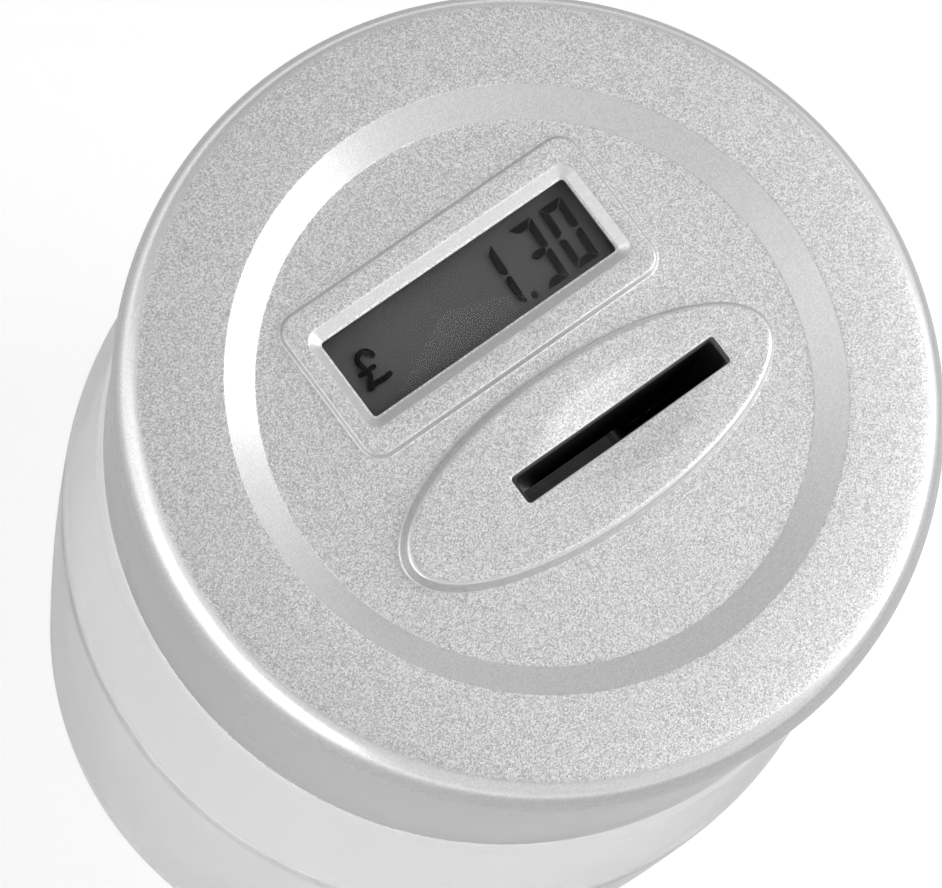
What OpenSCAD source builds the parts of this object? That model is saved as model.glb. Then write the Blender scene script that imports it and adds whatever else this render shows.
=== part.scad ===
// Digital coin counting jar: a clear screw-top jar whose lid measures and adds up coins.
// Millimetres. The origin is the centre of the jar's base. +Z is up, +X is the reading
// direction of the display, and +Y points from the coin slot towards the display.

/* [Overall] */
// Height from the table to the top of the lid
overall_h = 185; // [170:1:225]
// Outside diameter of the lid at its rounded rim
lid_d = 126; // [125:1:152]
// Widest diameter of the jar
jar_d = 133; // [130:1:162]

/* [Jar] */
// Wall of the jar
jar_wall = 2.2; // [1.6:0.1:3.2]
// Thickness of the jar's floor
jar_floor = 3; // [2:0.1:5]
// Height over which the body widens below the lid
taper_h = 42; // [30:1:55]
// How far the wall draws in from the widest girdle to the base
base_draw = 2.2; // [0:0.1:5]
// Radius that turns the wall into the foot
foot_round = 7; // [3:0.5:12]

/* [Lid] */
// Height of the lid, from its lower edge to the top
lid_h = 43.5; // [40:0.5:54]
// Height of the rounded rim, down to the seam above the skirt
rim_h = 7.8; // [6:0.1:10]
// How far the rounded rim reaches in from the lid's edge
rim_round = 4.5; // [2:0.1:6]
// Depth of the recessed well in the top
well_depth = 2.9; // [1.5:0.1:4]
// Diameter of the well where its bevel meets the top
well_d = 93.8; // [92:0.1:100]
// Plan width of the well's bevel
well_bevel = 4.8; // [2:0.1:7]
// Wall of the lid's top
cover_wall = 2.2; // [1.6:0.1:3]
// Wall of the lid's skirt
skirt_wall = 2.2; // [1.6:0.1:3]
// Step from the rim in to the skirt's lower edge
skirt_inset = 0.9; // [0.3:0.1:2]

/* [Display] */
// Width of the raised frame round the display
frame_w = 55.2; // [50:0.1:58]
// Depth of the raised frame round the display
frame_d = 25.8; // [22:0.1:27]
// Width of the window
window_w = 45.8; // [38:0.1:46]
// Depth of the window, front to back
window_d = 13.7; // [11:0.1:15]
// Sideways place of the display's middle
display_x = 0.4; // [-1:0.1:1]
// Distance of the display's middle behind the lid's middle
display_y = 17.2; // [16:0.1:18]

/* [Coin slot] */
// Length of the slot
slot_l = 38.4; // [32:0.1:47]
// Width of the slot
slot_w = 4.7; // [4.5:0.1:5.7]
// Sideways place of the slot's middle
slot_x = 7.3; // [5:0.1:9]
// Distance of the slot in front of the lid's middle
slot_y = 11.3; // [11:0.1:12]
// Length of the oval pad round the slot
pad_l = 67.3; // [60:0.1:76]
// Width of the oval pad
pad_w = 25.5; // [24:0.1:27]
// Height of the oval pad above the well
pad_h = 2.6; // [1.5:0.1:2.7]
// Swing of the measuring lever, in degrees
lever_swing = 50; // [30:1:50]

/* [Power] */
// Diameter of a cell
cell_d = 10.5; // [8.5:0.1:10.6]
// Length of a cell, with its nub
cell_l = 44.5; // [37:0.1:45]

/* [Hidden] */
$fn = 96;
eps = 0.01;

// Clearances
slip = 0.1;        // between pieces that drop into one another
run_fit = 0.05;    // round a turning shaft
free_gap = 0.3;    // between pieces that move past each other
drum_gap = 5.3;    // from the jar's mouth in to the drum
thread_room = 2.5; // for the threads between the neck and the skirt

// Levels, from the lid's top down
lid_top = overall_h;
well_z = lid_top - well_depth;
well_under = well_z - cover_wall;
rim_under = lid_top - cover_wall;
seam_z = lid_top - rim_h;
skirt_z = lid_top - lid_h;
flange_t = 2;
flange_top = seam_z - 1.7;
flange_z = flange_top - flange_t;
seal_t = 2;
neck_top = flange_z - seal_t;
shoulder_z = skirt_z - 0.8;
floor_t = 1.8;
floor_z = lid_top - 35;
floor_top = floor_z + floor_t;
board_t = 1.6;
board_z = well_under - 6.9;
board_top = board_z + board_t;
post_z = lid_top - 19;

// Radii, from the lid's edge in
lid_r = lid_d / 2;
rim_flat_r = lid_r - rim_round;
well_r = well_d / 2;
disc_r = well_r - well_bevel;
skirt_r = lid_r - skirt_inset;
skirt_draft = 0.4;
skirt_top_r = skirt_r - skirt_draft;
skirt_in_r = skirt_top_r - skirt_wall;
neck_r = skirt_in_r - thread_room;
mouth_r = neck_r - jar_wall;
seal_r = neck_r + 1;
seal_in_r = mouth_r - 1.2;
drum_r = mouth_r - drum_gap;
drum_wall = 1.8;
drum_in_r = drum_r - drum_wall;
lip_r = drum_r + 3.3;
flange_in_r = drum_r + 1;
jar_r = jar_d / 2;
shoulder_r = skirt_r - 0.2;
widest_z = shoulder_z - taper_h;
base_r = jar_r - base_draw;
push_up = 1.2;

// Display stack
frame_h = 1;
frame_top = well_z + frame_h;
window_bevel = 1.85;
window_bevel_h = 1.55;
lens_t = 1.2;
lens_top = frame_top - window_bevel_h - 0.35;
lens_w = window_w + 6;
lens_d = window_d + 6.5;
glass_w = window_w + 4.5;
glass_d = window_d + 5.4;
glass_t = 2.2;
glass_top = lens_top - lens_t - slip;
holder_wall = 1.6;
strip_w = 2;

// Oval pad and slot
pad_x = 1.2;
pad_y = -slot_y - 0.2;
pad_top = well_z + pad_h;
dish_l = 29;
dish_w = 14.4;
dish_depth = 1.2;
slot_wall = 1;
chute_top = pad_top - dish_depth - slot_wall;
chute_wall = 1.5;
chute_l = slot_l - 1;
chute_w = slot_w - 0.4;
chute_left = slot_x - chute_l / 2;
chute_right = slot_x + chute_l / 2;
chute_back = -slot_y + chute_w / 2;
chute_front = -slot_y - chute_w / 2;
ear_z = well_under - 1.6;
ear_reach = slot_l / 2 + 4.8;

// Measuring lever
pivot_x = chute_left - 6.1;
pivot_z = lid_top - 15;
shaft_r = 1.5;
arm_l = 26.5;
arm_rest = 5.4;
arm_t = 2;
tail_l = 7;
arm_half = 2.3;
arm_fall = arm_rest + lever_swing;
arm_gate_z = pivot_z - (chute_left - pivot_x) * tan(arm_fall) - arm_half / cos(arm_fall) - 0.3;
peg_x = pivot_x - tail_l;
peg_z = floor_z + 5;
peg_r = 1;
plate_left = peg_x - 2.8;
sensor_y = chute_back + chute_wall + 1.45;
sensor_t = 1.2;
sensor_posts = [[pivot_x + 7.8, pivot_z - 6.4], [pivot_x - 7.5, pivot_z + 5.8]];
plate_bosses = [
    [chute_right + 3.6, pivot_z + 2.5],
    [chute_right + 3.6, floor_z + 5],
    [pivot_x - 2, pivot_z - 12.5]
];

// Power
cell_r = cell_d / 2;
cell_pitch = cell_d + 0.4;
bay_front = -17.4;
cell_front_y = bay_front - 1.35 - cell_r;
cell_rear_y = cell_front_y - cell_pitch;
bay_rear = cell_rear_y - cell_r - 0.35;
bay_half = cell_l / 2 + 2.4;
bay_wall = 1.3;
bay_top = floor_top + cell_d + 0.75;
cell_z = floor_top + 0.4 + cell_r;
leaf_t = 0.4;
hinge_y = bay_rear + 0.6;
hinge_z = floor_z + 1.4;
knuckle_r = 0.9;
door_t = 1.5;
door_half = bay_half + 0.3;
door_front = bay_front + 0.5;

// Fasteners
post_r = 3.3;
cover_posts = [[39, 15], [37, -22], [-39, 15], [-37, -22]];
board_posts = [[24.5, 3.2], [24.5, 32.8], [-24.5, 3.2], [-24.5, 32.8]];
screw_r = 1;
big_screw_r = 1.3;
reset_x = 19;
reset_y = 20;
reset_travel = 0.6;

// Points along an arc about [x, z]
function arc(x, z, r, from, to, steps = 8) =
    [for (i = [0:steps]) let (a = from + (to - from) * i / steps) [x + r * cos(a), z + r * sin(a)]];

// The list in reverse order
function reversed(list) = [for (i = [len(list) - 1:-1:0]) list[i]];

// Radius of the jar's outside at height z, between the foot and the shoulder
function body_r(z) =
    z > widest_z
    ? jar_r - (jar_r - shoulder_r) * pow((z - widest_z) / taper_h, 1.25)
    : base_r + base_draw * sin(90 * (z - foot_round) / (widest_z - foot_round));

// Outline of the jar's body wall, moved in by one thickness
function body_line(inset, from, to, steps = 22) =
    [for (i = [0:steps]) let (z = from + (to - from) * i / steps) [body_r(z) - inset, z]];

// Points of an oval ring, moved out by grow from the pad's outline, at height z
function oval(grow, z, steps) =
    [for (i = [0:steps - 1]) let (a = 360 * i / steps)
        [pad_x + (pad_l / 2 + grow) * cos(a), pad_y + (pad_w / 2 + grow) * sin(a), z]];

// Unit vector
function unit(v) = v / norm(v);

// Points of one round section of a swept wire
function wire_ring(at, along, r, sides) =
    let (
        side = unit(cross(along, abs(along.z) > 0.9 ? [1, 0, 0] : [0, 0, 1])),
        up = cross(side, along)
    )
    [for (i = [0:sides - 1]) let (a = 360 * i / sides) at + r * (cos(a) * side + sin(a) * up)];

// Direction of a path at one of its points
function heading(path, i) = unit(path[min(i + 1, len(path) - 1)] - path[max(i - 1, 0)]);

// Smooth path through a few control points
function spline(p, steps) =
    [for (i = [0:len(p) - 2], j = [0:steps - 1])
        let (
            t = j / steps,
            a = p[max(i - 1, 0)],
            b = p[i],
            c = p[i + 1],
            d = p[min(i + 2, len(p) - 1)]
        )
        0.5 * (2 * b + (c - a) * t + (2 * a - 5 * b + 4 * c - d) * t * t
            + (3 * b - a - 3 * c + d) * t * t * t)];

// Closed skin over rings of points, the first ring at the bottom
module skin(rings) {
    sides = len(rings[0]);
    last = len(rings) - 1;
    polyhedron(
        points = [for (ring = rings, p = ring) p],
        faces = concat(
            [[for (i = [0:sides - 1]) i]],
            [for (k = [0:last - 1], i = [0:sides - 1])
                let (j = (i + 1) % sides)
                [k * sides + i, (k + 1) * sides + i, (k + 1) * sides + j, k * sides + j]],
            [[for (i = [sides - 1:-1:0]) last * sides + i]]
        ),
        convexity = 6
    );
}

// Round wire along a path
module wire(path, r, sides = 8) {
    skin([for (i = [0:len(path) - 1]) wire_ring(path[i], heading(path, i), r, sides)]);
}

// Rectangle with round corners, centred
module rounded(w, d, r) {
    square([w - 2 * r, d], center = true);
    square([w, d - 2 * r], center = true);
    for (x = [-1, 1], y = [-1, 1])
        translate([x * (w / 2 - r), y * (d / 2 - r)]) circle(r);
}

// Rounded block between two levels, centred on the Z axis
module slab(w, d, r, low, high) {
    translate([0, 0, low]) linear_extrude(high - low) rounded(w, d, r);
}

// Block between two corners
module block(low, high) {
    translate(low) cube(high - low);
}

// Cylinder along Z between two levels
module rod(r, low, high) {
    translate([0, 0, low]) cylinder(r = r, h = high - low);
}

// Cylinder along Y between two places
module rod_y(r, low, high) {
    translate([0, low, 0]) rotate([-90, 0, 0]) cylinder(r = r, h = high - low);
}

// Cylinder along X between two places
module rod_x(r, low, high) {
    translate([low, 0, 0]) rotate([0, 90, 0]) cylinder(r = r, h = high - low);
}

// Flat piece drawn in X and Z, between two places along Y
module standing(low, high) {
    translate([0, high, 0]) rotate([90, 0, 0]) linear_extrude(high - low) children();
}

// Screw that points up, its head's top face at the origin's level
module screw(r, head_r, head_h, length) {
    translate([0, 0, -head_h]) cylinder(r = head_r, h = head_h);
    translate([0, 0, -eps]) cylinder(r = r, h = length);
}

// ---------------------------------------------------------------- jar and seal

module jar() {
    shoulder_round = 1.2;
    outside = concat(
        [[0, push_up], [base_r - foot_round - 6, push_up], [base_r - foot_round - 4, 0]],
        arc(base_r - foot_round, foot_round, foot_round, -90, 0, 10),
        body_line(0, foot_round + 6, shoulder_z - shoulder_round),
        arc(shoulder_r - shoulder_round, shoulder_z - shoulder_round, shoulder_round, 20, 90, 5),
        arc(neck_r + 1.5, shoulder_z + 1.5, 1.5, 270, 180, 5),
        arc(neck_r - 0.6, neck_top - 0.6, 0.6, 0, 90, 4)
    );
    inner_foot = foot_round - jar_wall;
    inside = concat(
        [[0, push_up + jar_floor]],
        [[base_r - foot_round - 4, push_up + jar_floor]],
        arc(base_r - foot_round, jar_floor + inner_foot, inner_foot, -90, 0, 10),
        body_line(jar_wall, jar_floor + inner_foot + 5, shoulder_z - jar_wall - 3),
        arc(shoulder_r - jar_wall - 2, shoulder_z - jar_wall - 2.2, 2, 20, 90, 5),
        arc(mouth_r + 1.5, shoulder_z - jar_wall + 1.3, 1.5, 270, 180, 5),
        arc(mouth_r + 0.6, neck_top - 0.6, 0.6, 180, 90, 4)
    );
    color([0.93, 0.92, 0.93, 0.4]) rotate_extrude() polygon(concat(outside, reversed(inside)));
}

module rim_seal() {
    color("dimgray")
    difference() {
        rod(seal_r, neck_top, flange_z);
        rod(seal_in_r, neck_top - 1, flange_z + 1);
    }
}

// ---------------------------------------------------------------- lid

module skirt_ring() {
    edge = 0.6;
    color("silver")
    rotate_extrude() polygon(concat(
        [[skirt_in_r + 0.8, skirt_z]],
        arc(skirt_r - edge, skirt_z + edge, edge, -90, 0, 4),
        [
            [skirt_top_r, seam_z],
            [skirt_in_r, seam_z],
            [skirt_in_r, flange_top],
            [flange_in_r, flange_top],
            [flange_in_r, flange_z],
            [skirt_in_r, flange_z],
            [skirt_in_r, skirt_z + 1.5]
        ]
    ));
}

// Solid of the lid's top as turned: rounded rim, flat, bevelled well and the rib on the flange
module cover_shell() {
    equator_z = seam_z + 0.7;
    rim_rise = lid_top - equator_z;
    tilt = atan(well_depth / well_bevel);
    shift = cover_wall * tan(tilt / 2);
    inner_rim_r = skirt_top_r - 1.4;
    inner_round = rim_round - 1.2;
    rotate_extrude() polygon(concat(
        [[0, well_z], [disc_r, well_z], [well_r, lid_top]],
        [for (i = [0:10]) let (a = 9 * i)
            [rim_flat_r + rim_round * sin(a), equator_z + rim_rise * cos(a)]],
        [[lid_r - 0.1, seam_z + 0.25], [lid_r - 0.4, seam_z], [inner_rim_r, seam_z]],
        [for (i = [10:-1:0]) let (a = 9 * i)
            [inner_rim_r - inner_round * (1 - sin(a)), equator_z + (rim_under - equator_z) * cos(a)]],
        [
            [lip_r + 0.4, rim_under],
            [lip_r + 0.4, flange_top],
            [lip_r - 1.2, flange_top],
            [lip_r - 1.2, rim_under],
            [well_r + shift, rim_under],
            [disc_r + shift, well_under],
            [0, well_under]
        ]
    ));
}

// Raised frame with sloping sides
module display_mount() {
    hull($fn = 32) {
        slab(frame_w, frame_d, 3.4, well_z - 0.5, well_z + 0.1);
        slab(frame_w - 0.6, frame_d - 0.6, 3.2, frame_top - 0.25, frame_top - 0.2);
        slab(frame_w - 0.9, frame_d - 0.9, 3, frame_top - 0.1, frame_top);
    }
}

// Oval pad: a fillet at its foot, a steep wall and a rounded top edge
module oval_pad(steps = 64) {
    fillet_r = 0.8;
    edge_r = 0.6;
    lean = 0.55;
    foot = [for (a = [0:15:60]) [lean + fillet_r * (1 - sin(a)), fillet_r * (1 - cos(a)) + 0.03]];
    edge = [for (a = [18:18:90]) [-edge_r * (1 - cos(a)), pad_h - edge_r * (1 - sin(a))]];
    skin(concat(
        [oval(foot[0].x, well_z - 0.6, steps)],
        [for (p = foot) oval(p.x, well_z + p.y, steps)],
        [for (p = edge) oval(p.x, well_z + p.y, steps)]
    ));
}

// What is taken out of the lid's top: window, slot, dish and the pockets underneath
module cover_cuts() {
    translate([display_x, display_y, 0]) {
        hull($fn = 32) {
            slab(window_w, window_d, 0.8, frame_top - window_bevel_h, frame_top - window_bevel_h + eps);
            slab(window_w + 2 * window_bevel, window_d + 2 * window_bevel, 1.8, frame_top, frame_top + 0.1);
        }
        slab(window_w, window_d, 0.8, well_under - 1, frame_top - window_bevel_h + eps);
        slab(lens_w + 2 * slip, lens_d + 2 * slip, 1, well_under - 1, lens_top);
    }
    translate([slot_x, -slot_y, 0]) {
        slab(slot_l, slot_w, 0.7, chute_top - 1, lid_top + 1);
        slab(chute_l + 2 * chute_wall + 0.3, chute_w + 2 * chute_wall + 0.3, 1, well_under - 1, chute_top);
        translate([0, 0, pad_top + 4 * dish_depth])
            scale([dish_l / 1.2, dish_w / 1.2, 5 * dish_depth]) sphere(1);
        for (side = [-1, 1])
            translate([side * ear_reach, 0, 0]) rod(screw_r + run_fit, well_under - 1, well_under + 2.8);
    }
}

module top_cover() {
    color("silver")
    difference() {
        union() {
            difference() {
                union() {
                    cover_shell();
                    translate([display_x, display_y, 0]) display_mount();
                    oval_pad();
                }
                cover_cuts();
            }
            for (p = cover_posts) translate(p) rod(post_r, post_z, well_under + 1.6);
            for (p = board_posts) translate(p) rod(2.4, board_top, well_under + 0.6);
        }
        for (p = cover_posts) translate(p) rod(big_screw_r + run_fit, post_z - 1, post_z + 10);
        for (p = board_posts) translate(p) rod(screw_r + run_fit, board_top - 1, well_under + 0.2);
    }
}

// ---------------------------------------------------------------- display and board

module display_lens() {
    color([0.8, 0.85, 0.9, 0.3])
    translate([display_x, display_y, 0]) slab(lens_w, lens_d, 1, lens_top - lens_t, lens_top);
}

module display_glass() {
    color([0.3, 0.3, 0.3])
    translate([display_x, display_y, 0]) {
        slab(glass_w, glass_d, 0.3, glass_top - glass_t / 2, glass_top);
        slab(glass_w, glass_d - 2 * strip_w - 1, 0.3, glass_top - glass_t, glass_top - glass_t / 2 + eps);
    }
}

// Square holder between the board and the lid's underside
module display_frame() {
    pocket_w = glass_w + 2 * slip;
    pocket_d = glass_d + 2 * slip;
    color([0.12, 0.12, 0.12])
    translate([display_x, display_y, 0])
    difference() {
        slab(pocket_w + 2 * holder_wall, pocket_d + 2 * holder_wall, 1, board_top, well_under);
        slab(pocket_w, pocket_d, 0.5, board_top - 1, well_under + 1);
    }
}

module contact_strips() {
    color("dimgray")
    for (side = [-1, 1])
        translate([display_x, display_y + side * (glass_d / 2 - strip_w / 2), 0])
            slab(glass_w - 4, strip_w - 0.2, 0.3, board_top, glass_top - glass_t / 2);
}

module circuit_board() {
    color("darkgreen")
    difference() {
        translate([0, 18, 0]) slab(56, 36, 3, board_z, board_top);
        for (p = board_posts) translate(p) rod(screw_r + 0.15, board_z - 1, board_top + 1);
    }
}

// Glob of resin over the chip
module chip_blob() {
    blob_r = 8;
    blob_h = 1.8;
    color([0.08, 0.08, 0.08])
    translate([-4, 14, 0])
    intersection() {
        translate([0, 0, board_z - blob_h + blob_r]) sphere(blob_r);
        rod(blob_r, board_z - blob_h - 1, board_z);
    }
}

module capacitors() {
    color([0.15, 0.2, 0.35])
    for (y = [12, 20])
        translate([-21, y, 0]) {
            rod(2.5, board_z - 7, board_z - 0.6);
            rod(2.1, board_z - 0.7, board_z);
        }
}

module reset_switch() {
    color([0.1, 0.1, 0.1])
    translate([reset_x, reset_y, 0])
    difference() {
        slab(6, 6, 0.4, board_z - 3.4, board_z);
        rod(1.75 + slip, board_z - 4, board_z - 0.7);
    }
}

module switch_plunger() {
    color("ivory")
    translate([reset_x, reset_y, 0]) rod(1.75, board_z - 4.4, board_z - 0.7 - reset_travel - 0.2);
}

module reset_button() {
    color([0.55, 0.56, 0.58])
    translate([reset_x, reset_y, 0])
    rotate_extrude() polygon(concat(
        [[0, floor_z + 0.3]],
        arc(2.5, floor_z + 0.8, 0.5, -90, 0, 4),
        [
            [3, floor_top + eps],
            [4.2, floor_top + eps],
            [4.2, floor_top + 1],
            [2.4, floor_top + 1],
            [1.6, floor_top + 4],
            [1.6, board_z - 4.4],
            [0, board_z - 4.4]
        ]
    ));
}

// ---------------------------------------------------------------- coin mechanism

// Outline of the chute's side plates
module plate_outline() {
    polygon([
        [plate_left, floor_top + 0.2],
        [chute_left - chute_wall, floor_top + 0.2],
        [chute_left - chute_wall, floor_z],
        [chute_right + chute_wall, floor_z],
        [chute_right + chute_wall, ear_z],
        [plate_left + 4, ear_z],
        [plate_left, ear_z - 4]
    ]);
}

module coin_chute() {
    color([0.1, 0.1, 0.11])
    difference() {
        union() {
            translate([slot_x, -slot_y, 0]) {
                slab(chute_l + 2 * chute_wall, chute_w + 2 * chute_wall, 1, ear_z, chute_top);
                slab(2 * ear_reach + 6, chute_w + 2 * chute_wall + 3, 2.5, ear_z, well_under);
            }
            standing(chute_back, chute_back + chute_wall) plate_outline();
            block(
                [chute_right, chute_front, floor_z],
                [chute_right + chute_wall, chute_back + eps, ear_z + eps]
            );
            block(
                [chute_left - chute_wall, chute_front, pivot_z + 4],
                [chute_left, chute_back + eps, ear_z + eps]
            );
            block(
                [chute_left - chute_wall, chute_front, floor_z],
                [chute_left, chute_back + eps, arm_gate_z]
            );
            for (p = plate_bosses)
                translate([p.x, 0, p.y]) rod_y(2.4, chute_front, chute_back + chute_wall);
            translate([peg_x, 0, peg_z]) rod_y(peg_r, -slot_y - 1.7, chute_back + eps);
            for (p = sensor_posts)
                translate([p.x, 0, p.y]) rod_y(1.8, chute_back + eps, sensor_y);
        }
        translate([slot_x, -slot_y, 0]) slab(chute_l, chute_w, 0.9, floor_z - 1, chute_top + 1);
        for (side = [-1, 1])
            translate([slot_x + side * ear_reach, -slot_y, 0]) rod(screw_r + 0.15, ear_z - 1, well_under + 1);
        translate([pivot_x, 0, pivot_z]) rod_y(shaft_r + run_fit, chute_front, sensor_y);
        for (p = plate_bosses)
            translate([p.x, 0, p.y]) rod_y(screw_r + run_fit, chute_front - 1, chute_back - 0.2);
        for (p = sensor_posts)
            translate([p.x, 0, p.y]) rod_y(screw_r + run_fit, chute_back + 0.4, sensor_y + 1);
    }
}

// Front half of the chute, with a swelling round the shaft's blind bearing
module chute_cover() {
    color([0.14, 0.14, 0.15])
    difference() {
        union() {
            standing(chute_front - chute_wall, chute_front) {
                difference() {
                    plate_outline();
                    translate([plate_left - 1, floor_z - 1]) square([3.5, lid_h]);
                }
                for (p = plate_bosses) translate(p) circle(2.4);
            }
            translate([pivot_x, 0, pivot_z]) rod_y(3.4, chute_front - chute_wall - 0.8, chute_front);
        }
        translate([pivot_x, 0, pivot_z]) rod_y(shaft_r + run_fit, chute_front - chute_wall, chute_front + 1);
        for (p = plate_bosses)
            translate([p.x, 0, p.y]) rod_y(screw_r + 0.15, chute_front - chute_wall - 1, chute_front + 1);
    }
}

// Lever drawn with its pivot at the origin and its arm along +X
module lever_outline() {
    polygon([
        [0, -arm_half],
        [arm_l * 0.6, -1.9],
        [arm_l, -1.3],
        [arm_l, 1.6],
        [arm_l * 0.5, 1.4],
        [0, arm_half]
    ]);
    translate([arm_l, 0]) circle(1.9);
    polygon([[0, 2], [-tail_l, 1], [-tail_l, -1], [0, -2]]);
    translate([-tail_l, 0]) circle(1.5);
}

module coin_lever() {
    color([0.1, 0.1, 0.11])
    translate([pivot_x, 0, pivot_z])
    difference() {
        union() {
            rotate([0, arm_rest, 0]) standing(-slot_y - arm_t / 2, -slot_y + arm_t / 2) lever_outline();
            rod_y(3.1, chute_front + 0.25, chute_back - 0.25);
        }
        rod_y(shaft_r + 0.02, chute_front - 1, chute_back + 1);
        rotate([0, arm_rest, 0]) translate([-tail_l, 0, 0]) rod_y(0.7, -slot_y - 2, -slot_y + 2);
    }
}

module lever_shaft() {
    color("lightgray")
    translate([pivot_x, 0, pivot_z]) rod_y(shaft_r, chute_front - chute_wall + 0.1, sensor_y - 0.25);
}

module lever_spring() {
    turns = 11;
    wire_r = 0.25;
    coil_r = 1.5;
    tail_x = pivot_x - tail_l * cos(arm_rest);
    tail_z = pivot_z + tail_l * sin(arm_rest);
    low = peg_z + 2.2;
    high = tail_z - 2;
    hook_r = peg_r + wire_r + 0.15;
    last = 10 * turns + 2.5;
    peg_hook = [for (a = [140:30:380]) [peg_x + hook_r * cos(a), -slot_y, peg_z + hook_r * sin(a)]];
    coil = [for (i = [0:0.5:last]) let (a = 36 * i)
        [tail_x + coil_r * cos(a), -slot_y + coil_r * sin(a), low + (high - low) * i / last]];
    eye_hook = [
        [tail_x, -slot_y + coil_r, tail_z - 0.6],
        [tail_x, -slot_y + coil_r - 0.15, tail_z - 0.15],
        [tail_x, -slot_y + coil_r - 0.6, tail_z],
        [tail_x, -slot_y - coil_r + 0.6, tail_z],
        [tail_x, -slot_y - coil_r + 0.15, tail_z - 0.15],
        [tail_x, -slot_y - coil_r, tail_z - 1]
    ];
    color("lightgray") wire(concat(peg_hook, [for (i = [0:2:len(coil) - 1]) coil[i]], eye_hook), wire_r, 6);
}

module wiper_contact() {
    back = chute_back + chute_wall + 0.2;
    color("gold")
    translate([pivot_x, 0, pivot_z])
    difference() {
        union() {
            standing(back, back + leaf_t) {
                circle(3);
                for (a = [90, 210, 330]) rotate(a) translate([0, -0.9]) square([5.2, 1.8]);
            }
            for (a = [90, 210, 330])
                rotate([0, -a, 0]) translate([4.6, 0, 0]) rod_y(0.5, back + leaf_t - eps, sensor_y - 0.1);
        }
        rod_y(shaft_r + 0.02, back - 1, sensor_y + 1);
    }
}

module sensor_board() {
    color("darkgreen")
    difference() {
        standing(sensor_y, sensor_y + sensor_t)
            translate([pivot_x + 0.2, pivot_z - 0.4]) rounded(20, 16, 1);
        translate([pivot_x, 0, pivot_z]) rod_y(2, sensor_y - 1, sensor_y + sensor_t + 1);
        for (p = sensor_posts)
            translate([p.x, 0, p.y]) rod_y(screw_r + 0.15, sensor_y - 1, sensor_y + sensor_t + 1);
    }
}

// ---------------------------------------------------------------- drum and power

// Cup, lip and bay as one solid, before anything is taken out
module drum_body() {
    edge = 2;
    rotate_extrude() polygon(concat(
        [[0, floor_z]],
        arc(drum_r - edge, floor_z + edge, edge, -90, 0, 5),
        [
            [drum_r, flange_z - floor_t],
            [lip_r, flange_z - floor_t],
            [lip_r, flange_z],
            [drum_in_r, flange_z],
            [drum_in_r, floor_top],
            [0, floor_top]
        ]
    ));
    intersection() {
        block([-bay_half - bay_wall, -drum_r, floor_z + eps],
            [bay_half + bay_wall, bay_front + bay_wall, bay_top + bay_wall]);
        rod(drum_in_r + 0.4, floor_z, lid_top);
    }
    for (p = cover_posts) translate(p) rod(post_r, floor_z + eps, post_z);
    translate([reset_x, reset_y, 0]) rod(6, floor_z + eps, floor_top + 3.5);
}

module inner_cover() {
    outlet_l = chute_l + 2 * chute_wall + 2 * slip;
    outlet_w = chute_w + 2 * chute_wall + 2 * slip;
    color([0.25, 0.26, 0.28])
    difference() {
        drum_body();
        block([-bay_half, bay_rear, floor_top - eps], [bay_half, bay_front, bay_top]);
        block([-door_half, hinge_y - 1.2, floor_z - 1], [door_half, door_front + free_gap, floor_top]);
        translate([0, hinge_y, hinge_z]) {
            rod_x(knuckle_r + run_fit, -door_half - 1.4, door_half + 1.4);
            rod_x(knuckle_r + free_gap, -door_half, door_half);
        }
        block([-8, door_front, floor_z - 1], [8, door_front + 3, floor_z + 0.9]);
        translate([slot_x, -slot_y, 0]) slab(outlet_l, outlet_w, 0.4, floor_z - 1, floor_top + 1);
        translate([reset_x, reset_y, 0]) {
            rod(3 + 0.2, floor_z - 1, floor_top + 1);
            rod(4.2 + free_gap, floor_top, floor_top + 5);
        }
        for (p = cover_posts)
            translate(p) {
                rod(2.8, floor_z - 1, post_z - 6);
                rod(big_screw_r + 0.2, floor_z - 1, post_z + 1);
            }
        for (y = [cell_front_y, cell_rear_y])
            block([bay_half - 1.2, y - 1.7, bay_top - 1], [bay_half, y + 1.7, bay_top + bay_wall + 1]);
    }
}

module battery_door() {
    slope = 1.2;
    color([0.22, 0.23, 0.25])
    translate([0, hinge_y, 0]) {
        reach = door_front - hinge_y;
        rotate([90, 0, 90]) translate([0, 0, -door_half + free_gap])
            linear_extrude(2 * door_half - 2 * free_gap)
                polygon([
                    [slope, floor_z],
                    [reach, floor_z],
                    [reach, floor_z + door_t],
                    [0, floor_z + door_t],
                    [0, hinge_z]
                ]);
        translate([0, 0, hinge_z]) {
            rod_x(knuckle_r, -door_half + free_gap, door_half - free_gap);
            rod_x(knuckle_r, -door_half - 1.2, door_half + 1.2);
        }
        block([-6, reach - 1.45, floor_z + door_t - eps], [6, reach - 0.85, floor_top + 3]);
    }
}

// One cell along X, its positive end at +X
module cell() {
    color([0.2, 0.22, 0.24]) rod_x(cell_r, -cell_l / 2, cell_l / 2 - 1.4);
    color("silver") rod_x(1.9, cell_l / 2 - 1.5, cell_l / 2);
}

module cell_front() {
    translate([0, cell_front_y, cell_z]) cell();
}

module cell_rear() {
    translate([0, cell_rear_y, cell_z]) mirror([1, 0, 0]) cell();
}

// Conical springs at the two negative ends
module contact_springs() {
    turns = 3;
    reach = bay_half - leaf_t - cell_l / 2 - 0.1;
    color("lightgray")
    for (side = [-1, 1])
        translate([0, side < 0 ? cell_front_y : cell_rear_y, cell_z])
            wire([for (i = [0:turns * 12]) let (a = 30 * i, t = i / (turns * 12))
                [side * (bay_half - leaf_t - 0.3 - (reach - 0.6) * t),
                (3.6 - 1.8 * t) * cos(a), (3.6 - 1.8 * t) * sin(a)]], 0.3, 6);
}

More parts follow.
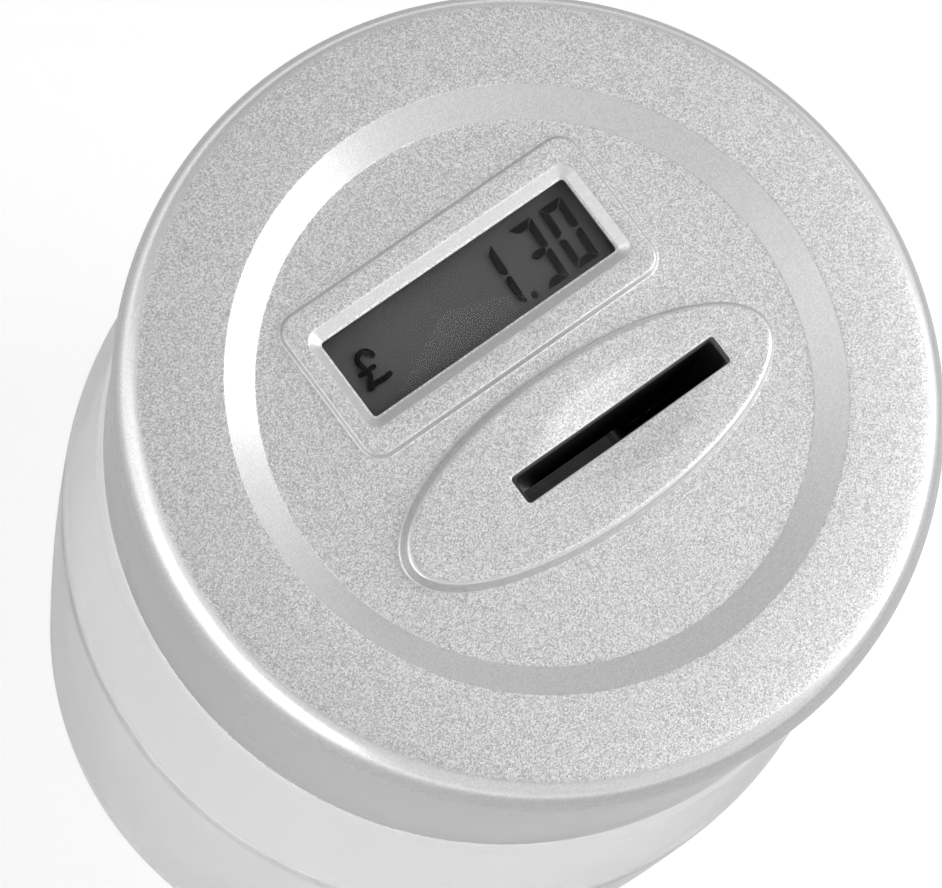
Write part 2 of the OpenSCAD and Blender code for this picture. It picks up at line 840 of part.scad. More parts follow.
// Strip that joins the two cells at the far end, with a bump for the positive nub
module contact_link() {
    color("lightgray")
    translate([-bay_half, 0, 0]) {
        block([0, cell_rear_y - 4, cell_z - 4], [leaf_t, cell_front_y + 4, cell_z + 4]);
        translate([0, cell_rear_y, cell_z]) rod_x(2.2, leaf_t - eps, bay_half - cell_l / 2);
    }
}

// Two leads' plates at the near end, with solder tabs through the bay's ceiling
module contact_plates() {
    color("lightgray") {
        for (y = [cell_front_y, cell_rear_y]) {
            block([bay_half - leaf_t, y - 4, cell_z - 4], [bay_half, y + 4, cell_z + 4]);
            block([bay_half - leaf_t, y - 1.5, cell_z + 3], [bay_half, y + 1.5, bay_top + bay_wall + 1.6]);
        }
        translate([0, cell_front_y, cell_z]) rod_x(2.2, cell_l / 2, bay_half - leaf_t + eps);
    }
}

// ---------------------------------------------------------------- wires and screws

module lead(y, route, finish) {
    tab = [bay_half - leaf_t / 2, y, bay_top + bay_wall + 2.3];
    color(finish) wire(spline(concat([tab], route), 4), 0.6);
}

module red_wire() {
    lead(cell_front_y, [
        [27, -20.5, lid_top - 17.5],
        [33.8, -15, lid_top - 18],
        [35, -6, lid_top - 17.5],
        [28, 0.5, lid_top - 15.5],
        [20, 3, lid_top - 14.2],
        [17, 3.4, board_z - 0.65]
    ], "firebrick");
}

module black_wire() {
    lead(cell_rear_y, [
        [27.5, -31, lid_top - 19],
        [31.5, -22, lid_top - 20.5],
        [36.5, -12, lid_top - 20.5],
        [37, -3, lid_top - 19.5],
        [28, 5.5, lid_top - 16],
        [20, 7.5, lid_top - 14.4],
        [13, 7, board_z - 0.65]
    ], [0.12, 0.12, 0.12]);
}

module sensor_wires() {
    color("lightgray")
    for (i = [-1:1])
        translate([pivot_x + 3 + 1.6 * i, 0, board_z - 0.45]) rod_y(0.4, sensor_y + sensor_t, 3);
}

module board_screws() {
    color("lightgray")
    for (p = board_posts) translate([p.x, p.y, board_z]) screw(screw_r, 1.9, 1.1, board_t + 4);
}

module chute_screws() {
    color("lightgray") {
        for (side = [-1, 1])
            translate([slot_x + side * ear_reach, -slot_y, ear_z]) screw(screw_r, 1.9, 1.1, 4);
        for (p = plate_bosses)
            translate([p.x, chute_front - chute_wall, p.y]) rotate([-90, 0, 0]) screw(screw_r, 1.9, 1, 5);
    }
}

module cover_screws() {
    color("lightgray")
    for (p = cover_posts) translate([p.x, p.y, post_z - 6]) screw(big_screw_r, 2.5, 1.8, 14);
}

module sensor_screws() {
    color("lightgray")
    for (p = sensor_posts)
        translate([p.x, sensor_y + sensor_t, p.y]) rotate([90, 0, 0]) screw(screw_r, 1.9, 1, 3.4);
}

jar();
rim_seal();
skirt_ring();
top_cover();
display_lens();
display_glass();
display_frame();
contact_strips();
circuit_board();
chip_blob();
capacitors();
reset_switch();
switch_plunger();
reset_button();
coin_chute();
chute_cover();
coin_lever();
lever_shaft();
lever_spring();
wiper_contact();
sensor_board();
inner_cover();
battery_door();
cell_front();
cell_rear();
contact_springs();
contact_link();
contact_plates();
red_wire();
black_wire();
sensor_wires();
board_screws();
chute_screws();
cover_screws();
sensor_screws();
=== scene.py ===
import math

import bmesh
import bpy
from mathutils import Matrix, Quaternion, Vector


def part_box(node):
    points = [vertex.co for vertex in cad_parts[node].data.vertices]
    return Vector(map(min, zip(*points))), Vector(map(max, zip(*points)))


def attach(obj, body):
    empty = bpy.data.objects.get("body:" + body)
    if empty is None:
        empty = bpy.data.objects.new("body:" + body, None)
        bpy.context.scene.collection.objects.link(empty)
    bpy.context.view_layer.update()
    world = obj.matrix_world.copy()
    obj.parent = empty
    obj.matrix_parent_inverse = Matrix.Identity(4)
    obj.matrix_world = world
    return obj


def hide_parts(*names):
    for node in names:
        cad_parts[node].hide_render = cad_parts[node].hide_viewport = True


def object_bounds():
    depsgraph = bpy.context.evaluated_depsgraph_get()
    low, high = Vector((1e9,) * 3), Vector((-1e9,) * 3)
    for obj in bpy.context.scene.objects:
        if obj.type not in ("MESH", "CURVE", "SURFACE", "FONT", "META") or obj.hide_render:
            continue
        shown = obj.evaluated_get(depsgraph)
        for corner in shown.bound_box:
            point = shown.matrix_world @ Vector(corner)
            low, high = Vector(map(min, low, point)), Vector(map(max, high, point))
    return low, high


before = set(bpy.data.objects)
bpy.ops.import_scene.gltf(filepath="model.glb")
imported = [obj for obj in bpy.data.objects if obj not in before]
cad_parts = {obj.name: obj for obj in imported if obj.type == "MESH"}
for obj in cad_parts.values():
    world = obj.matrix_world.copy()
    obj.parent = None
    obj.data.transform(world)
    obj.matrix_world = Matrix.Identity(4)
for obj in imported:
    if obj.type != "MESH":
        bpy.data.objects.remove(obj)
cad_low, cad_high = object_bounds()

# ---- camera
# It looks down on the lid from the front left, and is turned about its own axis, so that the
# display climbs to the right.
def direction(azimuth, elevation):
    """The way to a place round the jar, azimuth 0 being in front."""
    a = math.radians(azimuth)
    e = math.radians(elevation)
    return Vector((math.sin(a) * math.cos(e), -math.cos(a) * math.cos(e), math.sin(e)))


def set_up(name, data, target, way, distance):
    """Stands a camera or lamp at a distance from its target, and aims it there."""
    thing = bpy.data.objects.new(name, data)
    bpy.context.collection.objects.link(thing)
    thing.location = target + way * distance
    thing.rotation_mode = "QUATERNION"
    thing.rotation_quaternion = way.to_track_quat("Z", "Y")
    return thing


camera_roll = math.radians(30.4)
away = direction(-66.4, 73.27)
lens = bpy.data.cameras.new("camera")
lens.sensor_width = 36
lens.lens = 152.87
lens.clip_start = 0.02
lens.clip_end = 20
camera = set_up("camera", lens, Vector((-0.0133, -0.0011, cad_high.z - 0.0029)), away, 0.591)
camera.rotation_quaternion = camera.rotation_quaternion @ Quaternion((0, 0, 1), camera_roll)
bpy.context.scene.camera = camera
bpy.context.scene.view_settings.view_transform = "Standard"


# ---- studio
# A white table that keeps the jar's shadow, a white room, and three soft boxes: in front on the
# right, above them, and on the left. Only gloss sees the room's greys, dark edges and bright
# patches, and a table whose glow for gloss is a painted shadow just off the jar, to the front right.
def node(tree, kind, inputs=None, pick=0, **settings):
    """Adds a node, its sockets fed by values or other sockets, and gives the output picked."""
    made = tree.nodes.new(kind)
    for key, value in settings.items():
        setattr(made, key, value)
    for key, value in (inputs or {}).items():
        if isinstance(value, bpy.types.NodeSocket):
            tree.links.new(value, made.inputs[key])
        else:
            made.inputs[key].default_value = value
    return made if pick is None else made.outputs[pick]


def joined(tree, first, second, operation="MULTIPLY"):
    """Two numbers, multiplied or put together in another way."""
    return node(tree, "ShaderNodeMath", {0: first, 1: second}, operation=operation)


def between(tree, value, low, high, new_low, new_high, smooth=False):
    """A value carried from one range to another and held there."""
    return node(
        tree, "ShaderNodeMapRange",
        {"Value": value, "From Min": low, "From Max": high, "To Min": new_low, "To Max": new_high},
        interpolation_type="SMOOTHSTEP" if smooth else "LINEAR",
    )


def most(tree, values):
    """The highest of a few numbers."""
    highest = values[0]
    for value in values[1:]:
        highest = joined(tree, highest, value, "MAXIMUM")
    return highest


def seen_by(tree, *kinds):
    """1 for rays of these kinds, 0 for the rest."""
    rays = node(tree, "ShaderNodeLightPath", pick=None).outputs
    return most(tree, [rays[f"Is {kind} Ray"] for kind in kinds])


def towards(tree, ray, aimed, start, full, share):
    """Goes from 0 to share as a ray turns towards a direction of the room."""
    along = node(
        tree, "ShaderNodeVectorMath", {0: ray, 1: aimed}, "Value", operation="DOT_PRODUCT",
    )
    return between(tree, along, start, full, 0, share, True)


room_light = 0.5
world = bpy.data.worlds.new("studio")
bpy.context.scene.world = world
world.use_nodes = True
sky = world.node_tree
sky.nodes.clear()
ray = node(sky, "ShaderNodeTexCoord", pick="Generated")
grey_back = towards(sky, ray, (0.3, 0.83, 0.45), 0.46, 0.64, 0.28)
grey_ceiling = towards(sky, ray, (0, 0, 1), 0.7, 0.9, 0.34)
above_camera = Vector((away.x * 0.42, away.y * 0.42, away.z)).normalized()
shine = joined(sky, 1.0, most(sky, [grey_back, grey_ceiling]), "SUBTRACT")
for aimed, start, full, share in (
    (above_camera, 0.915, 0.98, -0.36), ((0.25, 0.97, -0.1), 0.88, 0.98, -0.25),
    ((0.7, -0.71, -0.04), 0.92, 0.98, -0.7), ((0.78, -0.53, 0.33), 0.72, 0.97, 0.3),
    ((0.12, -0.94, 0.32), 0.88, 0.98, 0.07), ((-0.75, 0.35, 0.55), 0.8, 0.97, 0.2),
    ((-0.77, 0.62, 0.12), 0.85, 0.97, 0.4), ((-0.42, 0.56, 0.71), 0.87, 0.97, 0.17),
    ((-0.66, 0.68, 0.3), 0.9, 0.98, 0.35),
):
    shine = joined(sky, shine, towards(sky, ray, aimed, start, full, share), "ADD")
in_gloss = joined(sky, shine, seen_by(sky, "Glossy"))
plain = most(sky, [seen_by(sky, "Camera", "Transmission"), in_gloss, room_light])
air = node(sky, "ShaderNodeBackground", {"Color": (1, 1, 1, 1), "Strength": plain})
node(sky, "ShaderNodeOutputWorld", {"Surface": air}, None)

table_half = 3.0
table_z = cad_low.z - 0.0002
table = bpy.data.meshes.new("table")
table.from_pydata(
    [(x * table_half, y * table_half, table_z) for x, y in ((-1, -1), (1, -1), (1, 1), (-1, 1))],
    [], [(0, 1, 2, 3)],
)
table_top = bpy.data.objects.new("table", table)
bpy.context.collection.objects.link(table_top)
table_white = bpy.data.materials.new("table_white")
table_white.use_nodes = True
cloth = table_white.node_tree
cloth.nodes.clear()
matt = node(cloth, "ShaderNodeBsdfDiffuse", {"Color": (0.8, 0.8, 0.8, 1)})
# Painted shadow: gloss sees no glow from the table near a spot just off the jar, to the front right, and
# full glow far away.
off_centre = node(
    cloth, "ShaderNodeVectorMath",
    {0: node(cloth, "ShaderNodeTexCoord", pick="Object"), 1: (0.36, -0.36, 0)}, "Value",
    operation="DISTANCE",
)
gloss_glow_past_painted_shadow = between(cloth, off_centre, 0.71, 1.4, 0, 1.25, True)
lift = joined(
    cloth, joined(cloth, seen_by(cloth, "Camera", "Transmission"), 0.42),
    joined(cloth, seen_by(cloth, "Glossy"), gloss_glow_past_painted_shadow), "ADD",
)
glow = node(cloth, "ShaderNodeEmission", {"Color": (1, 1, 1, 1), "Strength": lift})
both = node(cloth, "ShaderNodeAddShader", {0: matt, 1: glow})
node(cloth, "ShaderNodeOutputMaterial", {"Surface": both}, None)
table.materials.append(table_white)

for name, azimuth, elevation, distance, width, height, watts in (
    ("key_box", 54, 25, 0.62, 0.5, 0.34, 0.9), ("top_box", 58, 52, 0.8, 0.36, 0.36, 1.2),
    ("side_box", 272, 5, 0.85, 0.8, 0.46, 2.2),
):
    lamp = bpy.data.lights.new(name, "AREA")
    lamp.shape = "RECTANGLE"
    lamp.size = width
    lamp.size_y = height
    lamp.energy = watts
    box = set_up(name, lamp, Vector((0, 0, cad_high.z)), direction(azimuth, elevation), distance)
    box.visible_camera = False
    box.visible_transmission = False


# ---- jar
# Blow-moulded in one piece from clear plastic. The body swells to a girdle below the lid, the
# heavy foot has a pushed-up middle, and the neck carries a two-start screw thread.
MM = 0.001


def size_of(name):
    """Lowest and highest corner of a CAD node, in millimetres."""
    low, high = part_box(name)
    return low / MM, high / MM


def eased(corners, steps=6):
    """An outline from (across, up, radius) corners, each rounded by its radius."""
    outline = []
    for i, (x, z, radius) in enumerate(corners):
        here = Vector((x, z))
        before = Vector(corners[i - 1][:2]) - here
        after = Vector(corners[(i + 1) % len(corners)][:2]) - here
        if radius <= 0:
            outline.append((x, z))
            continue
        half = before.angle(after) / 2
        reach = min(radius / math.tan(half), 0.49 * before.length, 0.49 * after.length)
        start = before.normalized() * reach
        end = after.normalized() * reach
        middle = (start + end) / (2 * math.cos(half) ** 2)
        start -= middle
        end -= middle
        sweep = start.angle(end)
        for k in range(steps + 1):
            t = k / steps
            spoke = (start * math.sin((1 - t) * sweep) + end * math.sin(t * sweep)) / math.sin(sweep)
            outline.append(tuple(here + middle + spoke))
    return outline


def quarter(steps):
    """Angles of a quarter turn, with both its ends."""
    return [math.pi / 2 * k / steps for k in range(steps + 1)]


def turned(outline, sides=256, swell=None):
    """A closed outline of (radius, height) points, turned about the jar's axis."""
    shape = bmesh.new()
    rings = []
    for radius, z in outline:
        ring = []
        for k in range(sides if radius else 1):
            angle = math.tau * k / sides
            r = radius + (swell(angle, radius, z) if swell else 0)
            ring.append(shape.verts.new((r * math.cos(angle), r * math.sin(angle), z)))
        rings.append(ring)
    join_rings(shape, rings, closed=True)
    bmesh.ops.recalc_face_normals(shape, faces=shape.faces)
    return shape


def join_rings(shape, rings, closed=False):
    """Faces between rings of vertices, each ring as long as the next or a single point."""
    following = rings[1:] + rings[:1] if closed else rings[1:]
    for ring, after in zip(rings, following):
        count = max(len(ring), len(after))
        if count == 1:
            continue
        for k in range(count):
            j = (k + 1) % count
            corners = [ring[k % len(ring)], ring[j % len(ring)],
                       after[j % len(after)], after[k % len(after)]]
            shape.faces.new(list(dict.fromkeys(corners)))


def make_piece(name, shape, finish, body, stands_for=(), crease=35):
    """Keeps a shape drawn in millimetres as a piece of the jar, on its body."""
    for face in shape.faces:
        face.smooth = True
    limit = math.radians(crease)
    for edge in shape.edges:
        edge.smooth = len(edge.link_faces) == 2 and edge.calc_face_angle(math.pi) < limit
    bmesh.ops.scale(shape, vec=(MM, MM, MM), verts=shape.verts)
    mesh = bpy.data.meshes.new(name)
    shape.to_mesh(mesh)
    shape.free()
    mesh.materials.append(finish)
    piece = bpy.data.objects.new(name, mesh)
    bpy.context.collection.objects.link(piece)
    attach(piece, body)
    if stands_for:
        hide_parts(*stands_for)
    return piece

def solid(colour):
    """A colour as a socket takes it; a single number is a grey."""
    return (*colour, 1) if isinstance(colour, tuple) else (colour, colour, colour, 1)


def new_finish(name, colour, roughness, **plain):
    """A material with one Principled shader, its plain values on the shader's own sockets."""
    finish = bpy.data.materials.new(name)
    finish.use_nodes = True
    tree = finish.node_tree
    shader = tree.nodes["Principled BSDF"]
    shader.inputs["Base Color"].default_value = solid(colour)
    shader.inputs["Roughness"].default_value = roughness
    for key, value in plain.items():
        shader.inputs[key.replace("_", " ").title().replace("Ior", "IOR")].default_value = value
    return finish, tree, shader


def feed(tree, shader, **values):
    """Lets sockets drive the shader's base_color, roughness or metallic."""
    for key, value in values.items():
        tree.links.new(value, shader.inputs[key.replace("_", " ").title()])


def own_place(tree, scale=(1, 1, 1)):
    """The piece's own coordinates, stretched by scale."""
    place = node(tree, "ShaderNodeTexCoord", pick="Object")
    return node(tree, "ShaderNodeMapping", {"Vector": place, "Scale": scale})


def relief(tree, shader, height, depth, strength):
    """Fine relief on a shader from a height pattern; depth is in metres."""
    bump = node(tree, "ShaderNodeBump", {"Height": height, "Distance": depth, "Strength": strength})
    feed(tree, shader, normal=bump)


def noise(tree, place, scale, detail=2.0, roughness=0.5):
    """A noise pattern's grey value."""
    return node(
        tree, "ShaderNodeTexNoise",
        {"Vector": place, "Scale": scale, "Detail": detail, "Roughness": roughness},
    )


def spread(tree, pattern, low, high):
    """The middle of a noise's range, carried to low and high."""
    return between(tree, pattern, 0.3, 0.7, low, high)


def let_lamps_through(tree, shader, share):
    """Lamp light passes this clear material straight, dimmed to share."""
    straight = node(tree, "ShaderNodeBsdfTransparent", {"Color": solid(share)})
    mix = node(
        tree, "ShaderNodeMixShader",
        {0: seen_by(tree, "Shadow"), 1: shader.outputs[0], 2: straight},
    )
    tree.links.new(mix, tree.nodes["Material Output"].inputs["Surface"])


jar_high = size_of("jar")[1]
skirt_low, skirt_high = size_of("skirt_ring")
jar_radius = jar_high.x
neck_top = jar_high.z
jar_wall = 2.2
floor_thickness = 3.0
push_up = 1.2
foot_round = 7.0
base_radius = jar_radius - 2.2
skirt_radius = skirt_high.x
shoulder_radius = skirt_radius - 0.2
shoulder_z = skirt_low.z - 0.8
taper = 42.0
girdle_z = shoulder_z - taper
neck_radius = 57.0
mouth_radius = neck_radius - jar_wall


def body_radius(z):
    """Radius of the jar's outside between its foot and its shoulder."""
    if z > girdle_z:
        drawn = ((z - girdle_z) / taper) ** 1.25
        return jar_radius - (jar_radius - shoulder_radius) * drawn
    rise = (z - foot_round) / (girdle_z - foot_round)
    return base_radius + (jar_radius - base_radius) * math.sin(math.pi / 2 * rise)


def body_line(inset, low, high, steps):
    """The body wall's outline, moved in by inset."""
    heights = [low + (high - low) * k / steps for k in range(steps + 1)]
    return [(body_radius(z) - inset, z) for z in heights]


thread_lead = 12.0
thread_starts = 2
thread_low = 149.5
thread_high = 166.5
thread_proud = 1.5
thread_fade = 1.5
ridge_half = 1.25
ridge_slope = 0.75


def ridge(angle, z, starts, lead):
    """How far a point of a right-hand thread stands out, from 0 to 1."""
    pitch = lead / starts
    off = abs((z - lead * angle / math.tau) % pitch - pitch / 2)
    return max(0.0, min(1.0, (ridge_half - off) / ridge_slope))


def neck_thread(angle, radius, z):
    """Swell of the neck's outside where the thread is."""
    if radius < neck_radius - 0.01 or not thread_low < z < thread_high:
        return 0.0
    fade = min(1.0, (z - thread_low) / thread_fade, (thread_high - z) / thread_fade)
    rise = ridge(angle, z, thread_starts, thread_lead)
    return thread_proud * fade * (3 - 2 * rise) * rise * rise


foot_flat = base_radius - foot_round
inner_foot = foot_round - jar_wall
rim_of_foot = foot_round + 3
inner_floor = push_up + floor_thickness
low_shoulder = shoulder_z - 1.4
jar_outline = (
    [(0, push_up)]
    + eased([
        (30, push_up, 0), (foot_flat - 6, push_up, 6), (foot_flat - 4, 0, 0.8), (foot_flat, 0, 0),
    ])[1:-1]
    + [(foot_flat + foot_round * math.sin(a), foot_round * (1 - math.cos(a))) for a in quarter(14)]
    + body_line(0, rim_of_foot, low_shoulder, 56)
    + eased([
        (body_radius(low_shoulder), low_shoulder, 0), (shoulder_radius - 0.05, shoulder_z, 1.3),
        (neck_radius, shoulder_z, 1.5), (neck_radius, thread_low - 1, 0),
    ])[1:]
    + [(neck_radius, thread_low + 0.36 * k) for k in range(48)]
    + eased([
        (neck_radius, thread_high + 1, 0), (neck_radius, neck_top, 0.7),
        (mouth_radius, neck_top, 0.7), (mouth_radius, shoulder_z - jar_wall, 1.8),
        (shoulder_radius - jar_wall, shoulder_z - jar_wall, 2.2),
        (body_radius(shoulder_z - 7) - jar_wall, shoulder_z - 7, 0),
    ])
    + body_line(jar_wall, shoulder_z - 9, rim_of_foot, 54)
    + [(foot_flat + inner_foot * math.sin(a), floor_thickness + inner_foot * (1 - math.cos(a)))
       for a in quarter(12)[::-1]]
    + [(foot_flat - 4, inner_floor - 0.6), (foot_flat - 8, inner_floor), (0, inner_floor)]
)
clear_plastic, tree, shader = new_finish(
    "clear_plastic", (0.92, 0.922, 0.926), 0.05, ior=1.49, transmission_weight=0.88,
)
haze = noise(tree, own_place(tree), 120, 3)
feed(tree, shader, roughness=spread(tree, haze, 0.03, 0.07))
relief(tree, shader, noise(tree, own_place(tree, (1, 1, 0.25)), 38), 0.0006, 0.12)
let_lamps_through(tree, shader, 0.88)
make_piece(
    "jar_body", turned(jar_outline, 256, neck_thread), clear_plastic, "jar", ["jar"],
)


# ---- seal
# A die-cut ring of dark foam that sits up in the lid and closes on the jar's mouth.
seal_low, seal_high = size_of("rim_seal")
seal_inner = mouth_radius - 1.2
seal_outline = eased([
    (seal_inner, seal_low.z, 0.3), (seal_high.x, seal_low.z, 0.3),
    (seal_high.x, seal_high.z, 0.3), (seal_inner, seal_high.z, 0.3),
], 3)
foam, tree, shader = new_finish("seal_foam", (0.06, 0.06, 0.065), 0.85)
place = own_place(tree)
cells = node(tree, "ShaderNodeTexVoronoi", {"Vector": place, "Scale": 1600}, "Distance")
relief(tree, shader, cells, 0.0003, 0.8)
feed(tree, shader, base_color=spread(tree, noise(tree, place, 300), 0.045, 0.08))
make_piece("seal", turned(seal_outline, 192), foam, "seal", ["rim_seal"])


# ---- skirt
# The lid's side, moulded and sprayed a smooth satin silver. Its inner flange holds the seal, and
# the thread inside its lower edge climbs the jar's.
def mixed(tree, share, first, second):
    """One colour or socket fading into another."""
    sides = [c if isinstance(c, bpy.types.NodeSocket) else solid(c) for c in (first, second)]
    return node(tree, "ShaderNodeMix", {0: share, 6: sides[0], 7: sides[1]}, 2, data_type="RGBA")


def surface(name, colours, roughness, fine=None, broad=None, gloss=None, bump=None,
            stretch=(1, 1, 1), lamps=None, **plain):
    """A material. A broad noise (scale, detail, from, to) carries the first colour into the second;
    a fine noise (scale, detail) drives the gloss, from one roughness to another, and the bump."""
    finish, tree, shader = new_finish(name, colours[0], roughness, **plain)
    if broad:
        share = between(tree, noise(tree, own_place(tree), *broad[:2]), *broad[2:], 0, 1)
        feed(tree, shader, base_color=mixed(tree, share, *colours))
    grain = noise(tree, own_place(tree, stretch), *fine) if fine else None
    if gloss:
        feed(tree, shader, roughness=spread(tree, grain, *gloss))
    if bump:
        relief(tree, shader, grain, *bump)
    if lamps:
        let_lamps_through(tree, shader, lamps)
    return finish


skirt_top_radius = skirt_radius - 0.4
skirt_inner = skirt_top_radius - 2.2
seam_z = skirt_high.z
flange_inner = 50.5
flange_z = seal_high.z + 2
skirt_outline = eased([
    (skirt_inner + 0.6, skirt_low.z, 0.3), (skirt_radius, skirt_low.z, 0.7),
    (skirt_top_radius, seam_z, 0.35), (skirt_inner, seam_z, 0), (skirt_inner, flange_z, 0.3),
    (flange_inner, flange_z, 0.3), (flange_inner, seal_high.z, 0.3),
    (skirt_inner, seal_high.z, 0.4), (skirt_inner, skirt_low.z + 1.2, 0.6),
], 5)
smooth_silver = surface(
    "smooth_silver", [0.71], 0.24, (90, 2), gloss=(0.21, 0.28), bump=(0.0004, 0.15),
    stretch=(1, 1, 0.5), metallic=0.88,
)
make_piece(
    "skirt", turned(skirt_outline, 288), smooth_silver, "lid", ["skirt_ring"],
)


def start_tree(name, sizes):
    """A geometry tree that is given places and named sizes."""
    tree = bpy.data.node_groups.new(name, "GeometryNodeTree")
    sockets = tree.interface
    sockets.new_socket("Places", in_out="INPUT", socket_type="NodeSocketGeometry")
    for label, value in sizes.items():
        kind = "NodeSocketInt" if isinstance(value, int) else "NodeSocketFloat"
        sockets.new_socket(label, in_out="INPUT", socket_type=kind).default_value = value
    sockets.new_socket("Shape", in_out="OUTPUT", socket_type="NodeSocketGeometry")
    return tree, node(tree, "NodeGroupInput", pick=None).outputs


def together(tree, *parts):
    """Several shapes of a tree as one."""
    join = node(tree, "GeometryNodeJoinGeometry", pick=None)
    for part in parts:
        tree.links.new(part, join.inputs[0])
    return join.outputs[0]


def vector(tree, x, y, z):
    """Three numbers of a tree as one vector."""
    return node(tree, "ShaderNodeCombineXYZ", {0: x, 1: y, 2: z})


def moved(tree, shape, **by):
    """A shape moved, turned or stretched; the place may be a socket."""
    inputs = {"Geometry": shape}
    inputs.update({key.title(): value for key, value in by.items()})
    return node(tree, "GeometryNodeTransform", inputs)


def lifted(tree, shape, height):
    """A shape moved up."""
    return moved(tree, shape, translation=vector(tree, 0.0, 0.0, height))


def helix(tree, steps, turns, start, end, height):
    """A screw line that climbs from one radius to another."""
    return node(tree, "GeometryNodeCurveSpiral", {
        "Resolution": steps, "Rotations": turns, "Start Radius": start, "End Radius": end,
        "Height": height,
    })


def circle(tree, sides, radius):
    """A flat ring as a curve."""
    return node(tree, "GeometryNodeCurvePrimitiveCircle", {"Resolution": sides, "Radius": radius})


def swept(tree, path, sides, radius, **more):
    """A round bar along a curve, with closed ends."""
    inputs = {"Curve": path, "Profile Curve": circle(tree, sides, radius), "Fill Caps": True}
    inputs.update({key.title(): value for key, value in more.items()})
    return node(tree, "GeometryNodeCurveToMesh", inputs)


def spread_out(tree, points, shape, rotation):
    """Copies of a shape at points."""
    return node(tree, "GeometryNodeInstanceOnPoints", {
        "Points": points, "Instance": shape, "Rotation": rotation,
    })


def at_places(tree, places, shape, finish):
    """Ends a tree: a copy of the shape at each place, made real, in its material."""
    along = node(
        tree, "GeometryNodeInputNamedAttribute", {"Name": "along"}, data_type="FLOAT_VECTOR",
    )
    turn = node(tree, "FunctionNodeAlignRotationToVector", {"Vector": along}, axis="Z")
    real = node(tree, "GeometryNodeRealizeInstances", {0: spread_out(tree, places, shape, turn)})
    coated = node(tree, "GeometryNodeSetMaterial", {"Geometry": real, "Material": finish})
    node(tree, "NodeGroupOutput", {0: coated}, None)


def grown(name, tree, places, finish, body, slot, stands_for=(), crease=35, **sizes):
    """Runs a tree over (place, direction) pairs, and keeps the result as a plain piece."""
    seeds = bpy.data.meshes.new(name + "_places")
    seeds.from_pydata([place for place, along in places], [], [])
    direction = seeds.attributes.new("along", "FLOAT_VECTOR", "POINT")
    for k, (place, along) in enumerate(places):
        direction.data[k].vector = along
    carrier = bpy.data.objects.new(name + "_places", seeds)
    bpy.context.collection.objects.link(carrier)
    modifier = carrier.modifiers.new("grow", "NODES")
    modifier.node_group = tree
    for socket in tree.interface.items_tree:
        wanted = socket.name.lower().replace(" ", "_")
        if socket.in_out == "INPUT" and wanted in sizes:
            modifier[socket.identifier] = sizes[wanted]
    whole = carrier.evaluated_get(bpy.context.evaluated_depsgraph_get())
    result = bpy.data.meshes.new_from_object(whole)
    carrier.modifiers.clear()
    shape = bmesh.new()
    shape.from_mesh(result)
    bpy.data.objects.remove(carrier)
    bpy.data.meshes.remove(result)
    bpy.data.meshes.remove(seeds)
    return make_piece(name, shape, finish, body, stands_for, crease)


tree, size = start_tree("thread_turns", {
    "Radius": 59.15, "Bead": 1.2, "Rise": 10.0, "Lead": thread_lead,
})
turns = joined(tree, size["Rise"], size["Lead"], "DIVIDE")
path = helix(tree, 110, turns, size["Radius"], size["Radius"], size["Rise"])
along = node(tree, "GeometryNodeSplineParameter", pick="Factor")
ends = joined(tree, joined(tree, along, 0.5, "SUBTRACT"), 0.0, "ABSOLUTE")
bead = swept(
    tree, path, 12, size["Bead"], scale=between(tree, ends, 0.5, 0.46, 0.3, 1.0, True),
)
half_turn = moved(tree, bead, rotation=(0, 0, math.pi))
at_places(tree, size["Places"], together(tree, bead, half_turn), smooth_silver)
grown(
    "skirt_thread", tree, [((0, 0, skirt_low.z + 2.5), (0, 0, 1))], smooth_silver, "lid",
    "silver_skirt", radius=skirt_inner - 0.35,
)


# ---- lid top
# One moulding, sprayed with a satin silver that carries a fine spark grain: a rounded rim, a flat
# round a bevelled well, a raised frame round the display, and an oval pad with a finger dish.
cover_high = size_of("top_cover")[1]
chute_low, chute_high = size_of("coin_chute")
lens_low, lens_high = size_of("display_lens")
lid_top = cover_high.z
lid_radius = cover_high.x
well_depth = 2.9
crown_drop = 0.3
cover_wall = 2.2
well_z = lid_top - well_depth
well_under = well_z - cover_wall
rim_under = lid_top - cover_wall
well_radius = 46.9
disc_radius = 42.1
rim_round = 4.5
rim_flat = lid_radius - rim_round
equator_z = seam_z + 0.7
lip_radius = 52.8
lid_sides = 288
grid_radius = disc_radius - 1.6

display_middle = ((lens_low.x + lens_high.x) / 2, (lens_low.y + lens_high.y) / 2)
frame_size = (55.2, 25.8)
frame_top = well_z + 1
lens_size = (lens_high.x - lens_low.x, lens_high.y - lens_low.y)
window_size = (lens_size[0] - 6, lens_size[1] - 6.5)
window_bevel = 1.95

slot_x = (chute_low.x + chute_high.x) / 2 + 3.35
slot_y = -11.3
slot_half = (19.2, 2.35)
pad_middle = (1.2, -11.5)
pad_half = (33.65, 12.75)
pad_top = well_z + 2.6
dish_reach = (15.0, 7.4)
dish_depth = 0.98
dish_lip = 0.12
turn_angle = math.radians(22)
long_steps = 52
end_steps = 16


def ring_of(shape, points):
    """Vertices of a ring of (x, y, z) points."""
    return [shape.verts.new(p) for p in points]


def rounded_ring(middle, size, radius, z, corner_steps=10):
    """A rectangle's outline with round corners, counter-clockwise from its right side."""
    points = []
    for cx, cy, start in ((1, -1, -90), (1, 1, 0), (-1, 1, 90), (-1, -1, 180)):
        x = middle[0] + cx * (size[0] / 2 - radius)
        y = middle[1] + cy * (size[1] / 2 - radius)
        for k in range(corner_steps + 1):
            a = math.radians(start + 90 * k / corner_steps)
            points.append((x + radius * math.cos(a), y + radius * math.sin(a), z))
    return points


def pad_angles():
    """Angles round the pad: the right end, the back, the left end, then the front."""
    span = math.pi - 2 * turn_angle
    angles = [-turn_angle + 2 * turn_angle * k / end_steps for k in range(end_steps)]
    angles += [turn_angle + span * k / long_steps for k in range(long_steps)]
    return angles + [a + math.pi for a in angles]


